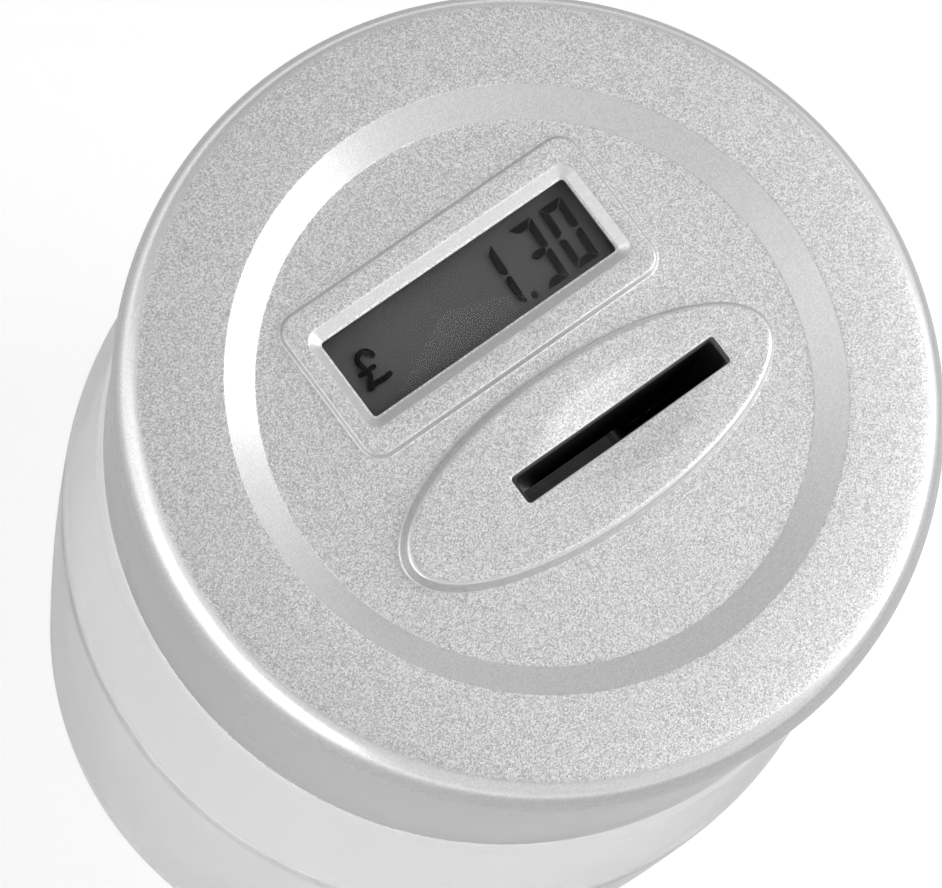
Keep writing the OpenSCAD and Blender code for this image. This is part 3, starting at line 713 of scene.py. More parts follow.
def pad_foot(a):
    """Radius of the fillet at the pad's foot: wider behind the pad than in front of it."""
    behind = 0.5 + 0.5 * math.sin(a - 0.7)
    return 0.08 + 0.9 * behind ** 3


def pad_ring(grow, z):
    """The pad's oval outline, moved out by grow; both may change round the pad."""
    points = []
    for a in pad_angles():
        out = grow(a) if callable(grow) else grow
        height = z(a) if callable(z) else z
        x = pad_middle[0] + (pad_half[0] + out) * math.cos(a)
        y = pad_middle[1] + (pad_half[1] + out) * math.sin(a)
        points.append((x, y, height))
    return points


def slot_ring(grow, radius):
    """The slot's outline, moved out by grow, with a point for each of the pad ring's."""
    half_x = slot_half[0] + grow
    half_y = slot_half[1] + grow
    corner_from = 3 / 8
    points = []
    for a in pad_angles():
        side = 1 if math.cos(a) > 0 else -1
        turn = math.asin(math.sin(a)) / turn_angle
        if abs(turn) >= 1:
            along = math.cos(a) / math.cos(turn_angle)
            points.append((along * (half_x - radius), math.copysign(half_y, math.sin(a))))
            continue
        height = abs(turn)
        if height <= corner_from:
            y = height / corner_from * (half_y - radius)
            x = half_x
        else:
            bend = (height - corner_from) / (1 - corner_from) * math.pi / 2
            y = half_y - radius + radius * math.sin(bend)
            x = half_x - radius + radius * math.cos(bend)
        points.append((side * x, math.copysign(y, turn)))
    return [(slot_x + x, slot_y + y) for x, y in points]


def pad_surface(x, y):
    """Height of the pad's top, which is flat but for the finger dish across the slot."""
    across = math.hypot((x - slot_x) / dish_reach[0], (y - slot_y) / dish_reach[1])
    bowl = dish_depth * (across ** 1.4 - 1)
    return pad_top if bowl > 1 else pad_top + (bowl - math.hypot(bowl, dish_lip)) / 2


def fill_flat(shape, rings, up):
    """Closes the flat region between an outer ring and the rings inside it."""
    edges = []
    for ring in rings:
        for a, b in zip(ring, ring[1:] + ring[:1]):
            edges.append(shape.edges.get((a, b)) or shape.edges.new((a, b)))
    bmesh.ops.triangle_fill(shape, use_beauty=True, edges=edges, normal=(0, 0, up))


def crowned(radius):
    """Height of the lid's rim, which falls away a little towards its edge."""
    return lid_top - crown_drop * ((radius - well_radius - 1) / (rim_flat - well_radius - 1)) ** 2


cover = bmesh.new()

# rim, flat and bevel, turned from the flat of the well out and back to its underside
bevel_tilt = math.atan2(well_depth, well_radius - disc_radius)
under_shift = cover_wall * math.tan(bevel_tilt / 2)
inner_rim = skirt_top_radius - 1.4
cover_outline = (
    [(grid_radius, well_z), (disc_radius - 0.9, well_z)]
    + eased([
        (disc_radius - 2, well_z, 0), (disc_radius, well_z, 0.6),
        (well_radius, lid_top, 0.6), (well_radius + 2, lid_top, 0),
    ], 6)[1:-1]
    + [(well_radius + 1 + k, crowned(well_radius + 1 + k)) for k in range(11)]
    + [(rim_flat + rim_round * math.sin(a), equator_z + (crowned(rim_flat) - equator_z) * math.cos(a))
       for a in quarter(22)[2:]]
    + [(lid_radius - 0.02, seam_z + 0.45), (lid_radius - 0.12, seam_z + 0.2),
       (lid_radius - 0.32, seam_z + 0.06), (lid_radius - 0.55, seam_z + 0.02),
       (skirt_top_radius - 0.4, seam_z + 0.02), (inner_rim, seam_z)]
    + [(inner_rim - 3.3 * (1 - math.sin(a)), equator_z + (rim_under - equator_z) * math.cos(a))
       for a in quarter(10)[::-1]]
    + [(lip_radius + 0.4, rim_under), (lip_radius + 0.4, flange_z),
       (lip_radius - 1.2, flange_z), (lip_radius - 1.2, rim_under),
       (well_radius + under_shift, rim_under), (disc_radius + under_shift, well_under),
       (grid_radius, well_under)]
)
lathe = []
for radius, z in cover_outline:
    lathe.append(ring_of(cover, [
        (radius * math.cos(math.tau * k / lid_sides), radius * math.sin(math.tau * k / lid_sides), z)
        for k in range(lid_sides)
    ]))
join_rings(cover, lathe)

# raised frame with its bevelled window, down through the wall to the pocket of the lens
frame_rings = []


def display_ring(size, grow, radius, z):
    """A ring of the lid's top round the display, moved out by grow."""
    size = (size[0] + 2 * grow, size[1] + 2 * grow)
    frame_rings.append(ring_of(cover, rounded_ring(display_middle, size, radius, z)))


for grow, rise, radius in (
    (0.4, 0.0, 3.8), (0.22, 0.01, 3.62), (0.08, 0.07, 3.48), (-0.01, 0.19, 3.39), (-0.25, 0.72, 3.2),
    (-0.33, 0.87, 3.12), (-0.45, 0.97, 3.0), (-0.63, 1.0, 2.85), (-0.9, 1.0, 2.6), (-1.4, 1.0, 2.4),
):
    display_ring(frame_size, grow, radius, well_z + rise)
for part, drop in (
    (1.15, 0), (1.05, 0.02), (0.97, 0.07), (0.91, 0.15), (0.24, 1.3), (0.2, 1.35), (0.15, 1.38),
    (0.03, 1.42), (0.01, 1.44), (0, 1.5),
):
    display_ring(window_size, window_bevel * part, 0.65 + 1.6 * part, frame_top - drop)
display_ring(window_size, 0, 0.65, lens_high.z)
for z in (lens_high.z, well_under):
    display_ring(lens_size, 0.1, 1, z)
join_rings(cover, frame_rings)

# oval pad, from its foot in over the edge, across the dish and down through the slot
pad_edge = 1.15
pad_rings = [pad_ring(lambda a: 0.5 + pad_foot(a), well_z)]
for k in range(9):
    t = math.radians(68 * k / 8)
    pad_rings.append(pad_ring(
        lambda a: 0.25 + pad_foot(a) * (1 - math.sin(t)),
        lambda a: well_z + pad_foot(a) * (1 - math.cos(t)),
    ))
for k in range(10):
    t = math.radians(14 + 76 * k / 9)
    pad_rings.append(pad_ring(-0.1 - pad_edge * (1 - math.cos(t)), pad_top - pad_edge * (1 - math.sin(t))))
outer = pad_ring(-1.6, pad_top)
pad_rings.append(outer)
inner = slot_ring(0.55, 1.2)
blend_steps = 22
for k in range(1, blend_steps):
    t = 1 - (k / blend_steps) ** 0.85
    points = []
    for (x, y, z), (sx, sy) in zip(outer, inner):
        bx = sx + (x - sx) * t
        by = sy + (y - sy) * t
        points.append((bx, by, pad_surface(bx, by)))
    pad_rings.append(points)
slot_edge = 0.22
for grow, drop in ((0.55, 0), (slot_edge, 0), (0.1, 0.04), (0.03, 0.12), (0, slot_edge)):
    pad_rings.append([(x, y, pad_surface(x, y) - drop) for x, y in slot_ring(grow, 0.6 + grow)])
for grow, radius, z in ((0, 0.6, chute_high.z), (1.15, 1.0, chute_high.z), (1.15, 1.0, well_under)):
    pad_rings.append([(x, y, z) for x, y in slot_ring(grow, radius)])
pad_rings = [ring_of(cover, points) for points in pad_rings]
join_rings(cover, pad_rings)

fill_flat(cover, [lathe[0], frame_rings[0], pad_rings[0]], 1)
fill_flat(cover, [lathe[-1], frame_rings[-1], pad_rings[-1]], -1)
bmesh.ops.recalc_face_normals(cover, faces=cover.faces)

spark_silver, tree, shader = new_finish("spark_silver", (0.69, 0.69, 0.685), 0.4, metallic=0.68)
place = own_place(tree)
facing = node(tree, "ShaderNodeSeparateXYZ", {0: node(tree, "ShaderNodeTexCoord", pick="Normal")}, "Z")
flat = between(tree, facing, 0.91, 0.965, 0, 1, True)
flakes = node(tree, "ShaderNodeTexVoronoi", {"Vector": place, "Scale": 5000}, "Color")
flake = between(tree, node(tree, "ShaderNodeSeparateColor", {"Color": flakes}), 0, 1, -0.22, 0.22)
sparkle = joined(tree, flake, between(tree, flat, 0, 1, 0.3, 1))
grain = noise(tree, place, 4400, 2, 0.6)
tone = joined(tree, joined(tree, sparkle, 0.665, "ADD"), spread(tree, grain, 0.95, 1.05))
feed(tree, shader, base_color=tone, roughness=between(tree, flat, 0, 1, 0.27, 0.42))
relief(tree, shader, grain, 0.00006, between(tree, flat, 0, 1, 0.06, 1))
make_piece("lid_top", cover, spark_silver, "lid", ["top_cover"], 40)


# ---- display window
# A window cut from clear acrylic sheet and glued into the pocket under the raised frame.
def slab(levels):
    """A closed stack of (size, radius, height) rings round the display's middle."""
    shape = bmesh.new()
    rings = [
        ring_of(shape, rounded_ring(display_middle, size, radius, z, 5))
        for size, radius, z in levels
    ]
    join_rings(shape, rings)
    shape.faces.new(rings[0][::-1])
    shape.faces.new(rings[-1])
    return shape


def tile(size, radius, low, high, edge=0.15):
    """A slab with round corners and softened edges between two heights."""
    return slab([
        ((size[0] - 2 * inset, size[1] - 2 * inset), max(radius - inset, 0.05), z)
        for inset, z in ((edge, low), (0, low + edge), (0, high - edge), (edge, high))
    ])


window_clear = surface(
    "window_clear", [(0.96, 0.965, 0.965)], 0.01, (40, 1), gloss=(0.004, 0.012),
    bump=(0.0002, 0.03), lamps=0.94, ior=1.14, transmission_weight=1.0,
)
window = tile(lens_size, 1, lens_low.z, lens_high.z)
make_piece("window", window, window_clear, "lid", ["display_lens"])


# ---- display glass
# Two panes glued round a thin gap, with a grey reflector behind them. The dark segments under the
# front pane show a sum of money and throw a soft shadow on the reflector.
def prism(shape, outline, low, high):
    """Adds an upright prism over an outline drawn about the display's middle."""
    bottom, top = (
        ring_of(shape, [(display_middle[0] + x, display_middle[1] + y, z) for x, y in outline])
        for z in (low, high)
    )
    join_rings(shape, [bottom, top])
    shape.faces.new(bottom[::-1])
    shape.faces.new(top)


def arc(middle, radius, angles):
    """Points of a circle at some angles."""
    return [Vector((middle[0] + radius * math.cos(a), middle[1] + radius * math.sin(a))) for a in angles]


def curve_through(points, steps=6):
    """Points of a smooth curve that passes through a few points."""
    path = [Vector(p) for p in points]
    path = [2 * path[0] - path[1]] + path + [2 * path[-1] - path[-2]]
    curve = []
    for a, b, c, d in zip(path, path[1:], path[2:], path[3:]):
        for k in range(steps):
            t = k / steps
            bend = (c - a) * t + (2 * a - 5 * b + 4 * c - d) * t ** 2 + (3 * b - a - 3 * c + d) * t ** 3
            curve.append(b + bend / 2)
    return curve + [path[-2]]


def ribbon(points, width):
    """Outline of a stroke with round ends that follows a line of points."""
    half = width / 2
    near = []
    far = []
    for i, point in enumerate(points):
        along = (points[min(i + 1, len(points) - 1)] - points[max(i - 1, 0)]).normalized()
        side = Vector((-along.y, along.x)) * half
        near.append(point - side)
        far.append(point + side)
        if i == 0:
            first = math.atan2(-along.y, -along.x)
        last = math.atan2(along.y, along.x)
    ends = []
    for middle, angle in ((points[-1], last), (points[0], first)):
        turns = [angle + math.radians(a) for a in (-60, -30, 0, 30, 60)]
        ends.append([middle + Vector((math.cos(a), math.sin(a))) * half for a in turns])
    return near + ends[0] + far[::-1] + ends[1]


glass_low, glass_high = size_of("display_glass")
pane_size = (glass_high.x - glass_low.x, glass_high.y - glass_low.y)
front_low = glass_high.z - 0.6
ledge_z = (glass_low.z + glass_high.z) / 2
ledge_size = (pane_size[0], pane_size[1] - 5)
well_size = (pane_size[0] - 3.4, ledge_size[1] - 0.3)

lcd_grey, tree, shader = new_finish("lcd_grey", (0.1, 0.1, 0.1), 0.6, ior=1.12)
place = own_place(tree, (1, 3, 1))
grain = noise(tree, place, 3000, 2)
mottle = spread(tree, noise(tree, place, 30, 1), 0.094, 0.102)
tone = joined(tree, mottle, spread(tree, grain, 0.94, 1.06))
feed(tree, shader, base_color=node(tree, "ShaderNodeCombineColor", {
    "Red": joined(tree, tone, 1.03), "Green": tone, "Blue": joined(tree, tone, 1.01),
}))
relief(tree, shader, grain, 0.00002, 0.3)
reflector = slab([
    (well_size, 0.6, front_low - 0.72), (well_size, 0.6, front_low - 0.01),
    (pane_size, 0.3, front_low - 0.01), (pane_size, 0.3, ledge_z),
    (ledge_size, 0.3, ledge_z), (ledge_size, 0.3, glass_low.z),
])
bmesh.ops.recalc_face_normals(reflector, faces=reflector.faces)
make_piece("lcd_back", reflector, lcd_grey, "lid", ["display_glass"])

lcd_front = surface(
    "lcd_front", [0.93], 0.01, (60, 1), gloss=(0.004, 0.012), lamps=0.93, ior=1.1,
    transmission_weight=1.0,
)
pane = tile(pane_size, 0.3, front_low, glass_high.z, 0.1)
make_piece("lcd_front", pane, lcd_front, "lid")

digit_width = 4.25
digit_height = 10.6
stroke = 1.25
gap = 0.17
digit_lean = 0.056
digits_low = -5.48
waist = digit_height / 2 - 0.05
top_bar = [
    (gap, digit_height), (digit_width - gap, digit_height),
    (digit_width - stroke - gap, digit_height - stroke), (stroke + gap, digit_height - stroke),
]
side_bar = [
    (digit_width, digit_height - gap), (digit_width - stroke, digit_height - stroke - 0.6 * gap),
    (digit_width - stroke, waist + gap + 0.5), (digit_width - 0.45 * stroke, waist + 0.8 * gap),
    (digit_width, waist + gap + 0.15),
]
bar_start = 0.75
bar_half = stroke / 2
middle_bar = [
    (bar_start, waist), (bar_start + bar_half, waist + bar_half),
    (digit_width - bar_start - bar_half, waist + bar_half), (digit_width - bar_start, waist),
    (digit_width - bar_start - bar_half, waist - bar_half), (bar_start + bar_half, waist - bar_half),
]


def flipped(outline, across=False, down=False):
    """A segment carried over to the other side of its digit, or to its lower half."""
    moved_over = [
        (digit_width - u if across else u, 2 * waist - v if down else v) for u, v in outline
    ]
    return moved_over if across == down else moved_over[::-1]


segments = {
    "a": top_bar, "b": side_bar, "c": flipped(side_bar, down=True),
    "d": flipped(top_bar, down=True), "e": flipped(side_bar, True, True),
    "f": flipped(side_bar, True), "g": middle_bar,
}
ink_low = front_low - 0.09
ink_high = front_low - 0.01
ink = bmesh.new()
for left, lit in ((3.16, "bc"), (10.81, "abcdg"), (16.56, "abcdef")):
    for letter in lit:
        prism(ink, [
            (left + u + digit_lean * v, digits_low + v) for u, v in segments[letter]
        ], ink_low, ink_high)
dot = arc((8.9, digits_low + 0.55), 0.6, [math.tau * k / 20 for k in range(20)])
prism(ink, dot, ink_low, ink_high)
hook = arc((-18.04, 1.47), 1.25, [math.pi * k / 12 for k in range(13)])
stem = curve_through([hook[-1], (-18.99, -0.68), (-19.34, -1.38), (-20.19, -2.53)])
foot = curve_through([(-20.19, -2.53), (-19.29, -2.28), (-17.39, -2.38), (-16.39, -2.28)])
bar = curve_through([(-20.14, -0.08), (-18.9, -0.1), (-17.69, -0.08)])
for k, (line, width) in enumerate(((hook[:-1] + stem, 0.88), (foot, 0.88), (bar, 0.78))):
    prism(ink, ribbon(line, width), ink_low + 0.01 * k, ink_high - 0.01 * k)
bmesh.ops.recalc_face_normals(ink, faces=ink.faces)
lcd_ink = surface("lcd_ink", [0.004, 0.007], 0.5, broad=(900, 2, 0.3, 0.7), ior=1.12)
make_piece("lcd_digits", ink, lcd_ink, "lid")


# ---- display holder
# A square holder moulded in black, which spaces the glass from the board.
def dress(finish, *names):
    """Gives carried-over CAD solids their material."""
    for name in names:
        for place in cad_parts[name].material_slots:
            place.material = finish


moulded_black = surface(
    "moulded_black", [0.02, 0.03], 0.42, (2200, 2), (60, 2, 0.3, 0.7), (0.36, 0.5), (0.00003, 0.4),
)
dress(moulded_black, "display_frame")


# ---- contact strips
# Two strips of silicone rubber sliced with conducting layers, pinched between glass and board.
def stripes(tree, place, scale, way):
    """A wave pattern's grey value, its bands across one way."""
    return node(
        tree, "ShaderNodeTexWave", {"Vector": place, "Scale": scale}, "Fac", bands_direction=way,
    )


zebra, tree, shader = new_finish("zebra_rubber", (0.2, 0.18, 0.17), 0.6)
layer = between(tree, stripes(tree, own_place(tree), 1600.0, "X"), 0.35, 0.65, 0, 1)
feed(tree, shader, base_color=mixed(tree, layer, 0.02, (0.42, 0.36, 0.33)))
relief(tree, shader, layer, 0.00002, 0.3)
dress(zebra, "contact_strips")


# ---- circuit board
# Fibreglass board with green solder mask over its tracks, and tinned pads where parts join it.
solder_mask, tree, shader = new_finish("solder_mask", (0.02, 0.1, 0.045), 0.32)
place = own_place(tree)
warp = node(tree, "ShaderNodeTexNoise", {"Vector": place, "Scale": 90.0, "Detail": 0.0}, "Color")
shift = node(tree, "ShaderNodeVectorMath", {0: warp, 1: (0.004, 0.004, 0.0)}, operation="MULTIPLY")
bent = node(tree, "ShaderNodeVectorMath", {0: place, 1: shift}, operation="ADD")
track = between(tree, stripes(tree, bent, 190.0, "DIAGONAL"), 0.62, 0.7, 0, 1)
holes = node(tree, "ShaderNodeTexVoronoi", {"Vector": place, "Scale": 260.0}, "Distance")
pad = between(tree, holes, 0.16, 0.2, 1, 0)
mask = mixed(tree, track, (0.012, 0.075, 0.032), (0.03, 0.17, 0.07))
tint = mixed(tree, pad, mask, (0.6, 0.6, 0.58))
feed(tree, shader, base_color=tint, metallic=joined(tree, pad, 0.9))
relief(tree, shader, joined(tree, track, pad, "ADD"), 0.00003, 0.5)
dress(solder_mask, "circuit_board", "sensor_board")


# ---- chip and capacitors
# The chip sits bonded to the board under a drop of black resin; the two capacitors are cans in
# dark shrunk sleeves with a pale stripe.
resin = surface(
    "black_resin", [(0.015, 0.015, 0.017)], 0.22, (220, 2), gloss=(0.14, 0.3), bump=(0.0003, 0.4),
)
dress(resin, "chip_blob")

sleeve_blue, tree, shader = new_finish("capacitor_sleeve", (0.02, 0.03, 0.09), 0.3)
normal = node(tree, "ShaderNodeTexCoord", pick="Normal")
facing = node(tree, "ShaderNodeSeparateXYZ", {0: normal}, None).outputs
stripe = between(tree, facing["Y"], 0.9, 0.93, 0, 1)
end_cap = between(tree, joined(tree, facing["Z"], 0.0, "MINIMUM"), -0.95, -0.9, 1, 0)
two_tone = mixed(tree, stripe, (0.02, 0.03, 0.09), (0.4, 0.43, 0.5))
feed(tree, shader, base_color=mixed(tree, end_cap, two_tone, 0.7), metallic=end_cap)
relief(tree, shader, noise(tree, own_place(tree), 900), 0.00003, 0.3)
dress(sleeve_blue, "capacitors")


# ---- reset switch
# A square tact switch soldered under the board, with a pale plunger for the button to push.
dress(moulded_black, "reset_switch")
dress(surface(
    "ivory_plastic", [(0.72, 0.66, 0.53), (0.79, 0.74, 0.63)], 0.35, (700, 2), (700, 2, 0, 1),
    bump=(0.00002, 0.3),
), "switch_plunger")


# ---- screw bosses
# Posts that hang from the lid's top, cored for self-tapping screws and stiffened by four ribs.
def cut_from(tree, shape, *tools):
    """A shape with others cut out of it."""
    cut = node(
        tree, "GeometryNodeMeshBoolean", {0: shape}, None, operation="DIFFERENCE", solver="EXACT",
    )
    for tool in tools:
        tree.links.new(tool, cut.inputs[1])
    return cut.outputs[0]


def rod(tree, sides, radius, length, kind="NGON", rings=1):
    """An upright cylinder about the origin."""
    return node(tree, "GeometryNodeMeshCylinder", {
        "Vertices": sides, "Radius": radius, "Depth": length, "Fill Segments": rings,
    }, fill_type=kind)


tree, size = start_tree("bosses", {
    "Radius": 3.3, "Hole Radius": 1.1, "Height": 15.4, "Rib Reach": 1.6, "Rib Thickness": 1.0,
})
height = size["Height"]
hole = size["Hole Radius"]
post = lifted(tree, rod(tree, 40, size["Radius"], height), joined(tree, height, 0.5))
core = rod(tree, 24, hole, joined(tree, height, 1.9))
cored = cut_from(tree, post, moved(tree, core, translation=(0, 0, -2)))
reach = joined(tree, size["Radius"], size["Rib Reach"], "ADD")
middle = joined(tree, joined(tree, reach, hole, "ADD"), 0.5)
width = joined(tree, joined(tree, reach, hole, "SUBTRACT"), 0.9)
rib = node(tree, "GeometryNodeMeshCube", {
    "Size": vector(tree, width, size["Rib Thickness"], joined(tree, height, 0.6)),
})
rib = moved(tree, rib, translation=vector(tree, middle, 0.0, joined(tree, height, 0.68)))
ribs = [moved(tree, rib, rotation=(0, 0, math.radians(45 + 90 * k))) for k in range(4)]
at_places(tree, size["Places"], together(tree, cored, *ribs), spark_silver)
post_z = seal_high.z - 7.5
board_low, board_high = size_of("circuit_board")
cover_posts = [(39, 15), (-39, 15), (37, -22), (-37, -22)]
board_posts = [(x, y) for x in (24.5, -24.5) for y in (3.2, 32.8)]
grown(
    "cover_bosses", tree, [((x, y, post_z), (0, 0, 1)) for x, y in cover_posts],
    spark_silver, "lid", "silver_cover",
)
grown(
    "board_bosses", tree, [((x, y, board_high.z), (0, 0, 1)) for x, y in board_posts],
    spark_silver, "lid", "silver_cover", radius=2.4, hole_radius=0.8,
    height=well_under + 0.8 - board_high.z, rib_reach=0.5, rib_thickness=0.8,
)


# ---- board screws
# Zinc-plated self-tapping screws with rounded heads and a cross recess. The board is held up to
# the lid's top by four of them.
zinc = surface(
    "zinc_plate", [(0.56, 0.56, 0.55), (0.7, 0.69, 0.66)], 0.28, (1200, 2), (500, 2, 0, 1),
    (0.2, 0.38), (0.00002, 0.3), metallic=1.0,
)
screw_tree, size = start_tree("screws", {
    "Head Radius": 1.9, "Head Height": 1.1, "Shank Radius": 1.0, "Length": 5.0,
})
tree = screw_tree
wide, high, shank, length = [
    size[label] for label in ("Head Radius", "Head Height", "Shank Radius", "Length")
]
head = lifted(tree, rod(tree, 28, wide, high, "TRIANGLE_FAN", 4), joined(tree, high, -0.5))
spot = node(tree, "ShaderNodeSeparateXYZ", {0: node(tree, "GeometryNodeInputPosition")}, None).outputs
squares = [joined(tree, value, value) for value in (spot["X"], spot["Y"], wide)]
out = joined(tree, joined(tree, squares[0], squares[1], "ADD"), squares[2], "DIVIDE")
on_top = joined(tree, spot["Z"], joined(tree, high, -0.9), "LESS_THAN")
sink = joined(tree, joined(tree, joined(tree, out, 2.0, "POWER"), on_top), joined(tree, high, 0.55))
head = node(tree, "GeometryNodeSetPosition", {
    "Geometry": head, "Offset": vector(tree, 0.0, 0.0, sink),
})
blade = node(tree, "GeometryNodeMeshCube", {
    "Size": vector(tree, joined(tree, wide, 1.15), joined(tree, wide, 0.28), high),
})
blade = lifted(tree, blade, joined(tree, high, -0.98))
head = cut_from(tree, head, *[
    moved(tree, blade, rotation=(0, 0, math.pi * turn)) for turn in (0.25, 0.75)
])
core = lifted(tree, rod(tree, 16, joined(tree, shank, 0.78), length), joined(tree, length, 0.5))
thread_radius = joined(tree, shank, 0.8)
path = helix(
    tree, 14, joined(tree, length, 1.1), thread_radius, thread_radius, joined(tree, length, 0.94),
)
turns = moved(tree, swept(tree, path, 3, joined(tree, shank, 0.2)), translation=(0, 0, 0.15))
at_places(tree, size["Places"], together(tree, head, core, turns), zinc)


def screwed(name, places, along, stands_for, head_radius, head_height, shank_radius, length):
    """Screws at some places, all pointing one way."""
    grown(
        name, screw_tree, [(place, along) for place in places], zinc, "lid", "bright_steel",
        stands_for, head_radius=head_radius, head_height=head_height, shank_radius=shank_radius,
        length=length,
    )


board_spots = [(x, y, board_low.z) for x, y in board_posts]
screwed("board_fixings", board_spots, (0, 0, 1), ["board_screws"], 1.9, 1.1, 1.0, 5.6)


# ---- coin chute
# Two black mouldings that close on each other round the falling coin, screwed up under the pad.
dress(moulded_black, "coin_chute")
dress(surface(
    "chute_black", [0.026, 0.036], 0.5, (1500, 3), (1500, 3, 0.3, 0.7), bump=(0.00005, 0.5),
), "chute_cover")


# ---- outlet brush
# Two rows of soft black bristles, set in the chute's long walls at its outlet. They meet in the
# middle and part for a coin, and keep fingers out. They are also a painted shade: a dark piece put
# in the outlet so that the slot shows dark, where light would shine through from the clear jar and
# the white table. They start beyond the place where the lever's tip comes through the outlet.
tree, size = start_tree("bristle_rows", {
    "Bristles": 96, "Run": 27.6, "Half Width": 2.1, "Reach": 2.3, "Droop": 0.4,
    "Thickness": 0.18, "Layers": 4, "Seed": 7,
})
pitch = joined(tree, size["Run"], size["Bristles"], "DIVIDE")
row = node(tree, "GeometryNodeMeshLine", {
    "Count": size["Bristles"], "Offset": vector(tree, pitch, 0.0, 0.0),
})
row = moved(tree, row, translation=vector(
    tree, joined(tree, size["Run"], -0.5), joined(tree, size["Half Width"], -1.0), 0.0,
))
hair = node(tree, "GeometryNodeCurvePrimitiveBezierSegment", {
    "Resolution": 3, "Start": (0, 0, 0), "Start Handle": (0, 0.8, 0), "End Handle": (0, 1.5, 0),
    "End": vector(tree, 0.0, size["Reach"], joined(tree, size["Droop"], -1.0)),
})
hair = swept(tree, hair, 4, size["Thickness"])
levels = node(tree, "GeometryNodeMeshLine", {"Count": size["Layers"], "Offset": (0.13, 0, 0.3)})
sheet = node(tree, "GeometryNodeInstanceOnPoints", {"Points": levels, "Instance": row})
lean = node(tree, "FunctionNodeRandomValue", {
    "Min": (-0.1, 0.0, -0.12), "Max": (0.06, 0.4, 0.12), "Seed": size["Seed"],
}, data_type="FLOAT_VECTOR")
side = spread_out(tree, node(tree, "GeometryNodeRealizeInstances", {0: sheet}), hair, lean)
brush = together(tree, side, moved(tree, side, rotation=(0, 0, math.pi)))
# Painted shade: these dark bristles keep the slot dark where light would come through the chute.
bristle_black = surface("bristle_black", [0.01, 0.022], 0.4, broad=(800, 2, 0.3, 0.7))
at_places(tree, size["Places"], brush, bristle_black)
outlet = (slot_x + 5.3, slot_y, chute_low.z + 0.9)
grown("outlet_brush", tree, [(outlet, (0, 0, 1))], bristle_black, "lid", "black_plastic")


# ---- coin lever
# A sprung arm of slippery black plastic that each coin pushes aside. It turns on a ground steel
# shaft, and a fine tension spring draws it back.
dress(surface(
    "lever_black", [(0.02, 0.02, 0.022)], 0.3, (900, 2), gloss=(0.24, 0.4), bump=(0.00003, 0.4),
    stretch=(0.3, 1, 1),
), "coin_lever")
dress(surface(
    "drawn_steel", [0.52, 0.64], 0.25, (4000, 2), (400, 2, 0.3, 0.7), (0.16, 0.34),
    stretch=(1, 0.05, 1), metallic=1.0,
), "lever_shaft", "lever_spring")


# ---- wiper and sensor
# A three-armed brass spring on the shaft's end sweeps the pads of a small board, so that the
# lever's swing tells the size of the coin. The screws of the board and of the chute follow.
dress(surface(
    "contact_brass", [(0.8, 0.6, 0.27), (0.58, 0.38, 0.16)], 0.3, (500, 3), (500, 3, 0.35, 0.7),
    (0.22, 0.42), metallic=1.0,
), "wiper_contact")
pivot_x = -17.5
sensor_face = size_of("sensor_board")[1].y
sensor_spots = [(pivot_x + x, sensor_face, z) for x, z in ((7.8, 163.6), (-7.5, 175.8))]
screwed("sensor_fixings", sensor_spots, (0, -1, 0), ["sensor_screws"], 1.9, 1.0, 1.0, 3.4)
ears = [(slot_x + side * 24, slot_y, well_under - 1.6) for side in (-1, 1)]
screwed("ear_fixings", ears, (0, 0, 1), ["chute_screws"], 1.9, 1.1, 1.0, 4.0)
cover_face = slot_y - slot_half[1] - 1.3
plates = [(x, cover_face, z) for x, z in ((29.6, 172.5), (29.6, 155), (-19.5, 157.5))]
screwed("plate_fixings", plates, (0, 1, 0), (), 1.9, 1.0, 1.0, 5.0)


# ---- drum
# The lid's dark lower cover: a moulded cup with a fine spark texture, an outlet for the coins, a
# hole for the reset button and the battery bay. Four long screws hold it up under the seal.
dress(surface(
    "drum_grey", [(0.0551, 0.05795, 0.0646), (0.0609, 0.06405, 0.0714)], 0.5, (1800, 3),
    (25, 2, 0.3, 0.7), (0.42, 0.6), (0.00006, 0.5),
), "inner_cover")
drum_spots = [(x, y, post_z - 6) for x, y in cover_posts]
screwed("drum_fixings", drum_spots, (0, 0, 1), ["cover_screws"], 2.5, 1.8, 1.3, 14.0)


# ---- reset button
# A long grey button that stands in the drum's floor and reaches up to the switch.
dress(surface(
    "button_grey", [(0.24, 0.25, 0.27), (0.29, 0.3, 0.32)], 0.4, (1600, 2), (1600, 2, 0, 1),
    bump=(0.00003, 0.4),
), "reset_button")


# ---- battery door
# Moulded like the drum, on two snap-in hinge knuckles, with fine ridges where a nail pulls it.
door_grey, tree, shader = new_finish("door_grey", (0.05, 0.053, 0.06), 0.46)
place = own_place(tree)
grain = noise(tree, place, 1800, 3)
spot = node(tree, "ShaderNodeSeparateXYZ", {0: place}, None).outputs
near_edge = between(tree, spot["Y"], -0.0262, -0.0258, 0, 1)
inside = between(tree, joined(tree, spot["X"], 0.0, "ABSOLUTE"), 0.0118, 0.0122, 1, 0)
gripped = joined(tree, joined(tree, near_edge, inside), stripes(tree, place, 160.0, "Y"))
feed(tree, shader, base_color=spread(tree, grain, 0.046, 0.06))
relief(tree, shader, joined(tree, joined(tree, gripped, 8.0), grain, "ADD"), 0.00006, 0.6)
dress(door_grey, "battery_door")


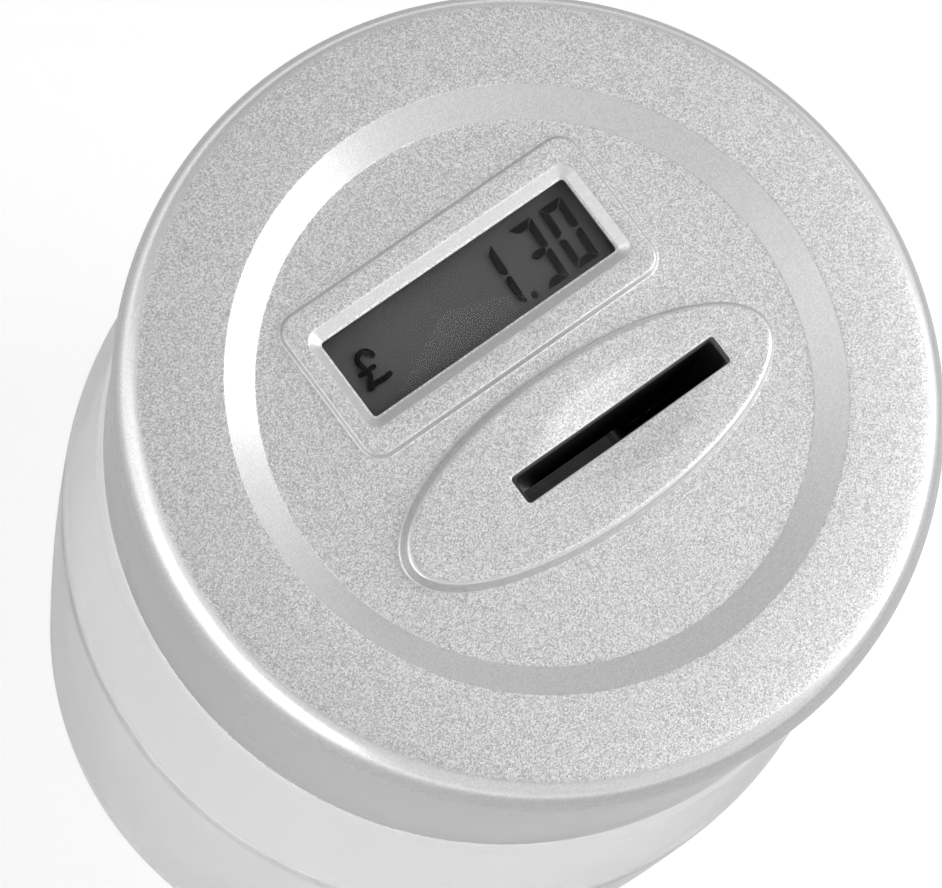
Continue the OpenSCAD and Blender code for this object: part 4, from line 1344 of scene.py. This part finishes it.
# ---- cells
# Two small dry cells side by side, head to tail: a steel can with a nub at one end, in a printed
# plastic sleeve that is folded over both rims.
cell_low, cell_high = size_of("cell_front")
cell_half = (cell_high.x - cell_low.x) / 2
cell_radius = (cell_high.z - cell_low.z) / 2
can_radius = cell_radius - 0.15
can_outline = eased([
    (0, -cell_half + 0.15, 0), (3.9, -cell_half + 0.15, 0.2), (4.1, -cell_half, 0.1),
    (can_radius, -cell_half, 0.6), (can_radius, cell_half - 1.5, 0.5),
    (4.2, cell_half - 1.5, 0.2), (4.0, cell_half - 1.9, 0.1), (2.9, cell_half - 1.9, 0.1),
    (2.7, cell_half - 1.4, 0.2), (1.9, cell_half - 1.4, 0.15), (1.9, cell_half, 0.35),
    (0, cell_half, 0),
], 3)
film = 0.08
sleeve_outline = eased([
    (4.6, -cell_half, 0), (cell_radius, -cell_half, 0.5), (cell_radius, cell_half - 1.4, 0.5),
    (4.5, cell_half - 1.4, 0), (4.5, cell_half - 1.4 - film, 0),
    (cell_radius - film, cell_half - 1.4 - film, 0.4), (cell_radius - film, film - cell_half, 0.4),
    (4.6, film - cell_half, 0),
], 3)


def lay_cell(shape, name, way):
    """Lays an upright shape down along the cell that a CAD node stands for."""
    low, high = size_of(name)
    down = Matrix.Translation((low + high) / 2) @ Matrix.Rotation(way * math.pi / 2, 4, "Y")
    bmesh.ops.transform(shape, matrix=down, verts=shape.verts)
    return shape


for name, way in (("cell_front", 1), ("cell_rear", -1)):
    can = lay_cell(turned(can_outline, 48), name, way)
    make_piece(name + "_can", can, zinc, "lid", [name], 30)
    printed, tree, shader = new_finish(name + "_sleeve", (0.05, 0.05, 0.055), 0.28)
    along = node(tree, "ShaderNodeSeparateXYZ", {0: own_place(tree)}, "X")
    along = joined(tree, along, float(way))
    copper = between(tree, along, 0.0115, 0.0117, 0, 1)
    line = joined(
        tree, between(tree, along, 0.0104, 0.0105, 0, 1), between(tree, along, 0.0109, 0.011, 1, 0),
    )
    two_tone = mixed(tree, copper, (0.045, 0.048, 0.055), (0.5, 0.27, 0.1))
    tint = mixed(tree, line, two_tone, (0.6, 0.6, 0.58))
    feed(tree, shader, base_color=tint, metallic=joined(tree, copper, 0.6))
    relief(tree, shader, noise(tree, own_place(tree, (0.3, 1, 1)), 500), 0.00004, 0.3)
    sleeve = lay_cell(turned(sleeve_outline, 64), name, way)
    make_piece(name + "_sleeve", sleeve, printed, "lid")


# ---- battery contacts
# Nickel-plated strips at the ends of the bay, with a conical spring of plated wire at each cell's
# flat end.
nickel = surface(
    "nickel_plate", [(0.66, 0.64, 0.6), (0.74, 0.72, 0.69)], 0.22, (1500, 2), (300, 2, 0, 1),
    (0.16, 0.32), (0.00002, 0.3), (1, 1, 0.08), metallic=1.0,
)
dress(nickel, "contact_link", "contact_plates")

tree, size = start_tree("contact_coils", {
    "Wide": 3.6, "Narrow": 1.8, "Reach": 1.3, "Turns": 3.0, "Wire": 0.3,
})
coil = swept(tree, together(
    tree, helix(tree, 28, size["Turns"], size["Wide"], size["Narrow"], size["Reach"]),
    circle(tree, 40, size["Wide"]), lifted(tree, circle(tree, 32, size["Narrow"]), size["Reach"]),
), 8, size["Wire"])
at_places(tree, size["Places"], coil, nickel)
spring_low, spring_high = size_of("contact_springs")
rear_low, rear_high = size_of("cell_rear")
grown("contact_coils", tree, [
    ((spring_low.x + 0.3, *((cell_low + cell_high) / 2).yz), (1, 0, 0)),
    ((spring_high.x - 0.3, *((rear_low + rear_high) / 2).yz), (-1, 0, 0)),
], nickel, "lid", "bright_steel", ["contact_springs"], 60)


# ---- wires
# Stranded leads in glossy plastic insulation, from the battery contacts and the sensor's pads to
# the board.
for wire, name, dark, light in (
    ("red_wire", "red_insulation", (0.42, 0.02, 0.015), (0.55, 0.035, 0.025)),
    ("black_wire", "black_insulation", (0.016, 0.016, 0.017), (0.03, 0.03, 0.032)),
    ("sensor_wires", "grey_insulation", (0.3, 0.3, 0.31), (0.4, 0.4, 0.41)),
):
    dress(surface(
        name, [dark, light], 0.3, (1400, 2), (250, 2, 0, 1), bump=(0.00004, 0.4),
    ), wire)
